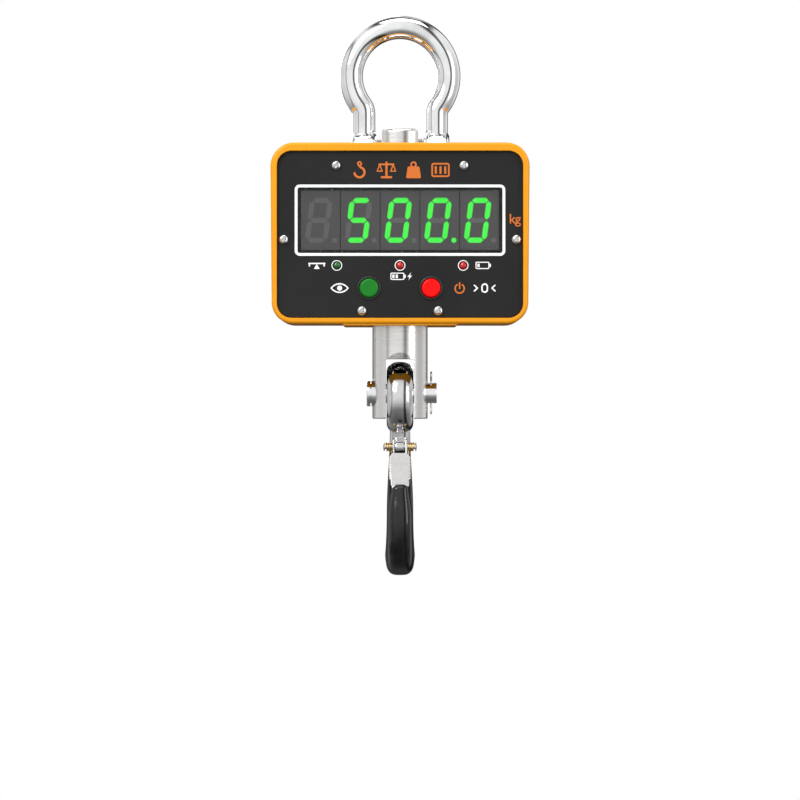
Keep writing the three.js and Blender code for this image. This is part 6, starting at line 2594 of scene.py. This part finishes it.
@dataclass
class BatteryUnit:
    """The hinged door in the back, its pin and coin screw, the cells, and the charge socket."""

    back: float = 44.0
    inner: float = 41.0
    centre_z: float = -151.0
    height: float = 64.0
    left: float = -56.0
    right: float = 59.0
    hinge_y: float = 41.6
    knuckle: float = 2.4
    thumb_x: float = 52.5
    bay: Point = (-50.0, 46.0)
    bay_height: float = 56.0
    bay_floor: float = 22.0
    cells: int = 5
    socket: Place = (-68.0, 0.0, -100.0)

    def door(self) -> Form:
        """The door leaf with its hinge barrel, pressed field and the screw's cup.

        Returns:
            The form.
        """
        low, high = self.centre_z - self.height / 2, self.centre_z + self.height / 2
        outline = rounded([
            (self.left, low, 0), (self.right, low, 1.6), (self.right, high, 1.6), (self.left, high, 0)])
        leaf = Form.slab(outline, Axis.Y, (self.inner, self.back))
        leaf.edged(0.5, 3, lambda p: p.x > self.left + 3)
        hinge = (self.left, self.hinge_y, 0)
        barrel = Form.rod(2 * self.knuckle, Axis.Z, (low, high), hinge, edge=0.4, steps=40)
        screw = (self.thumb_x, 0, self.centre_z)
        cup = self.back - 1.8
        cup_tool = Form.turned(
            [(0, cup), (4.8, cup), (4.8, self.back - 0.4), (5.4, self.back + 0.2), (5.4, self.back + 1),
             (0, self.back + 1)], Axis.Y, screw, 48)
        field_line = rounded_box(88, 46, 4, (-4, self.centre_z))
        field_tool = Form.slab(field_line, Axis.Y, (self.back - 0.6, self.back + 1)).edged(0.35, 2)
        rib_lines = [rounded_box(78, 2.2, 1, (-4, self.centre_z + dz)) for dz in (-14, -7, 0, 7, 14)]
        rib_reach = (self.back - 1, self.back - 0.1)
        ribs = [Form.slab(line, Axis.Y, rib_reach).edged(0.3, 2) for line in rib_lines]
        return leaf.join(barrel).cut(
            Form.rod(2.6, Axis.Z, (low - 1, high + 1), hinge, steps=24),
            Form.rod(4.6, Axis.Y, (self.inner - 1, self.back + 1), screw, steps=32), cup_tool, field_tool,
        ).join(*ribs)

    def hinge_pin(self) -> Form:
        """The hinge's pin, with its ends rounded.

        Returns:
            The form.
        """
        reach = self.height / 2 + 3.3
        low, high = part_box("door_hinge_pin")
        half = min(reach, (high.z - low.z) / MM / 2)
        diameter = (high.x - low.x) / MM
        span = (self.centre_z - half, self.centre_z + half)
        return Form.rod(diameter, Axis.Z, span, (self.left, self.hinge_y, 0), edge=0.3, steps=28)

    def coin_screw(self) -> Form:
        """The captive screw, with a knurled head and a coin slot.

        Returns:
            The form.
        """
        seat, face = self.back - 1.5, self.back - 0.1
        at = (self.thumb_x, 0, self.centre_z)
        profile = [
            (0, self.inner - 3.5), (1.6, self.inner - 3.5), (2, self.inner - 3.1), (2, seat), (4.4, seat),
            (4.4, face - 0.35), (4.05, face), (0, face),
        ]
        head = Form.turned(profile, Axis.Y, at, 72)
        grooves = [
            Form.rod(0.5, Axis.Y, (seat - 1, face + 1),
                     (at[0] + 4.45 * math.cos(turn), 0, at[2] + 4.45 * math.sin(turn)), steps=6)
            for turn in (math.tau * i / 30 for i in range(30))
        ]
        slot = Form.block((at[0] - 9, at[0] + 9), (face - 0.8, self.back + 1), (at[2] - 0.6, at[2] + 0.6))
        return head.cut(slot, *grooves)

    def pack(self) -> Form:
        """The wrapped row of cells.

        Returns:
            The form.
        """
        left, right = self.bay[0] + 1, self.bay[1] - 1
        low, high = self.bay_floor + 0.3, self.inner - 1
        radius = (right - left) / self.cells / 2
        half = self.bay_height / 2 - 1
        centre_y = (low + high) / 2
        rows = []
        for i in range(self.cells):
            x = left + radius * (2 * i + 1)
            rows.append(Form.rod(2 * min(radius, (high - low) / 2), Axis.Z, (-half, half),
                                 (x, centre_y, self.centre_z), edge=1.6, steps=48))
        wrap = Form.block(
            (left + radius, right - radius), (low + 0.9, high - 0.9),
            (self.centre_z - half + 0.6, self.centre_z + half - 0.6)).edged(1.0, 3)
        return rows[0].join(*rows[1:], wrap)

    def charge_socket(self) -> Form:
        """The round charge socket, with its contact pin.

        Returns:
            The form.
        """
        face = self.back - GAP
        profile = [
            (0, self.inner - 6), (3.25, self.inner - 6), (3.25, face - 0.3), (3.6, face), (6.6, face),
            (7, face - 0.4), (7, face - 1.4), (4.5, face - 1.4), (4.5, self.inner - 9), (0, self.inner - 9),
        ]
        contact = Form.rod(1.9, Axis.Y, (self.inner - 6.5, face - 1.8), self.socket, edge=0.5, steps=24)
        return Form.turned(profile, Axis.Y, self.socket, 56).beside(contact.painted(1))

    def pieces(self) -> list[Piece]:
        """All the battery unit's pieces."""
        return [
            Piece("ribbed_door", self.door(), ORANGE, Body.DOOR, ("battery_door",)),
            Piece("door_pin", self.hinge_pin(), BRIGHT, Body.SCALE, ("door_hinge_pin",)),
            Piece("coin_screw", self.coin_screw(), BRIGHT, Body.THUMBSCREW, ("door_thumbscrew",)),
            Piece("wrapped_cells", self.pack(), WRAP, Body.SCALE, ("battery_pack",)),
            Piece("plug_socket", self.charge_socket(), BLACK, Body.SCALE, ("charge_socket",), (BRIGHT,)),
        ]


ASSEMBLIES = (
    Shackle(), LoadCell(), Hook(), Latch(), Housing(),
    DisplayUnit(), Artwork(), Electronics(), BatteryUnit(),
)


# ---- Studio -------------------------------------------------------------------------------


@dataclass
class Studio:
    """The camera, the lights and the surroundings that the metal mirrors."""

    middle_z: float = -0.2484
    distance: float = 3.0
    face_y: float = -0.022
    frame_height: float = 0.5467
    bands: tuple[tuple[Axis, tuple[Point, ...]], ...] = (
        (Axis.X, ((0.0, 0.75), (0.06, 0.90), (0.10, 0.30), (0.15, 0.95), (0.30, 1.0), (0.60, 1.0),
                  (0.66, 0.12), (0.72, 0.10), (0.78, 1.0), (0.93, 0.90), (1.0, 0.60))),
        (Axis.Y, ((0.0, 1.0), (0.80, 1.0), (0.94, 0.15), (1.0, 0.05))),
        (Axis.Z, ((0.0, 0.12), (0.20, 0.30), (0.38, 0.92), (0.50, 1.0), (0.62, 1.0), (0.90, 1.0),
                  (0.95, 0.08), (1.0, 0.05))),
    )

    def camera(self) -> None:
        """A long lens level with the middle of the scale."""
        data = bpy.data.cameras.new("camera")
        data.sensor_width = 36
        data.lens = data.sensor_width * self.distance / self.frame_height
        data.clip_end = 50
        made = bpy.data.objects.new("camera", data)
        made.location = (0, self.face_y - self.distance, self.middle_z)
        made.rotation_euler = (math.radians(90), 0, 0)
        bpy.context.scene.collection.objects.link(made)
        bpy.context.scene.camera = made

    def lamp(self, name: str, at: Place, size: Point, power: float, tint: Place = (1, 1, 1)) -> None:
        """A soft rectangular light that looks at the scale.

        Args:
            name: its name.
            at: where it stands, in metres.
            size: its width and height in metres.
            power: its watts.
            tint: its colour.
        """
        data = bpy.data.lights.new(name, "AREA")
        data.shape = "RECTANGLE"
        data.size, data.size_y = size
        data.energy = power
        data.color = tint
        made = bpy.data.objects.new(name, data)
        made.location = at
        aim = Vector((0, 0, -0.18)) - Vector(at)
        made.rotation_euler = aim.to_track_quat("-Z", "Y").to_euler()
        bpy.context.scene.collection.objects.link(made)

    def lights(self) -> None:
        """A key from the upper left, a fill from the right, a top light and a rim."""
        self.lamp("key", (-0.9, -1.5, 0.9), (0.9, 1.1), 28)
        self.lamp("fill", (1.5, -1.2, 0.1), (0.5, 1.4), 10)
        self.lamp("top", (0.1, -0.3, 1.5), (1.2, 0.8), 12)
        self.lamp("rim", (-0.6, 1.6, 0.5), (1.2, 1.2), 14)

    def surroundings(self) -> None:
        """A plain white backdrop, and for the mirrors a pale room with dark bands at its sides."""
        world = bpy.data.worlds.new("studio")
        bpy.context.scene.world = world
        world.use_nodes = True
        nodes = Nodes(world.node_tree)
        looking = nodes.node("ShaderNodeTexCoord", output="Generated")
        level = None
        for axis, stops in self.bands:
            along = nodes.node("ShaderNodeSeparateXYZ", {}, [looking], axis.name)
            share = nodes.node("ShaderNodeMapRange", {}, {"Value": along, "From Min": -1.0})
            shades = [(place, grey(shade)) for place, shade in stops]
            band = nodes.node("ShaderNodeValToRGB", {"stops": shades}, [share])
            if level:
                band = nodes.node("ShaderNodeVectorMath", {"operation": "MULTIPLY"}, [level, band])
            level = band
        room = nodes.node("ShaderNodeBackground", {}, {"Color": level, "Strength": 0.95})
        plain = nodes.node("ShaderNodeBackground", {}, {"Color": grey(1.0)})
        seen = nodes.node("ShaderNodeLightPath", output="Is Camera Ray")
        both = nodes.node("ShaderNodeMixShader", {}, [seen, room, plain])
        nodes.feed(world.node_tree.nodes["World Output"].inputs["Surface"], both)


def main() -> None:
    """Builds the scale piece by piece, then the studio."""
    logging.basicConfig(level=logging.INFO, format="%(message)s")
    for assembly in ASSEMBLIES:
        for piece in assembly.pieces():
            piece.place()
    studio = Studio()
    studio.camera()
    studio.lights()
    studio.surroundings()
    bpy.context.scene.view_settings.view_transform = "Standard"


if __name__ == "__main__":
    main()
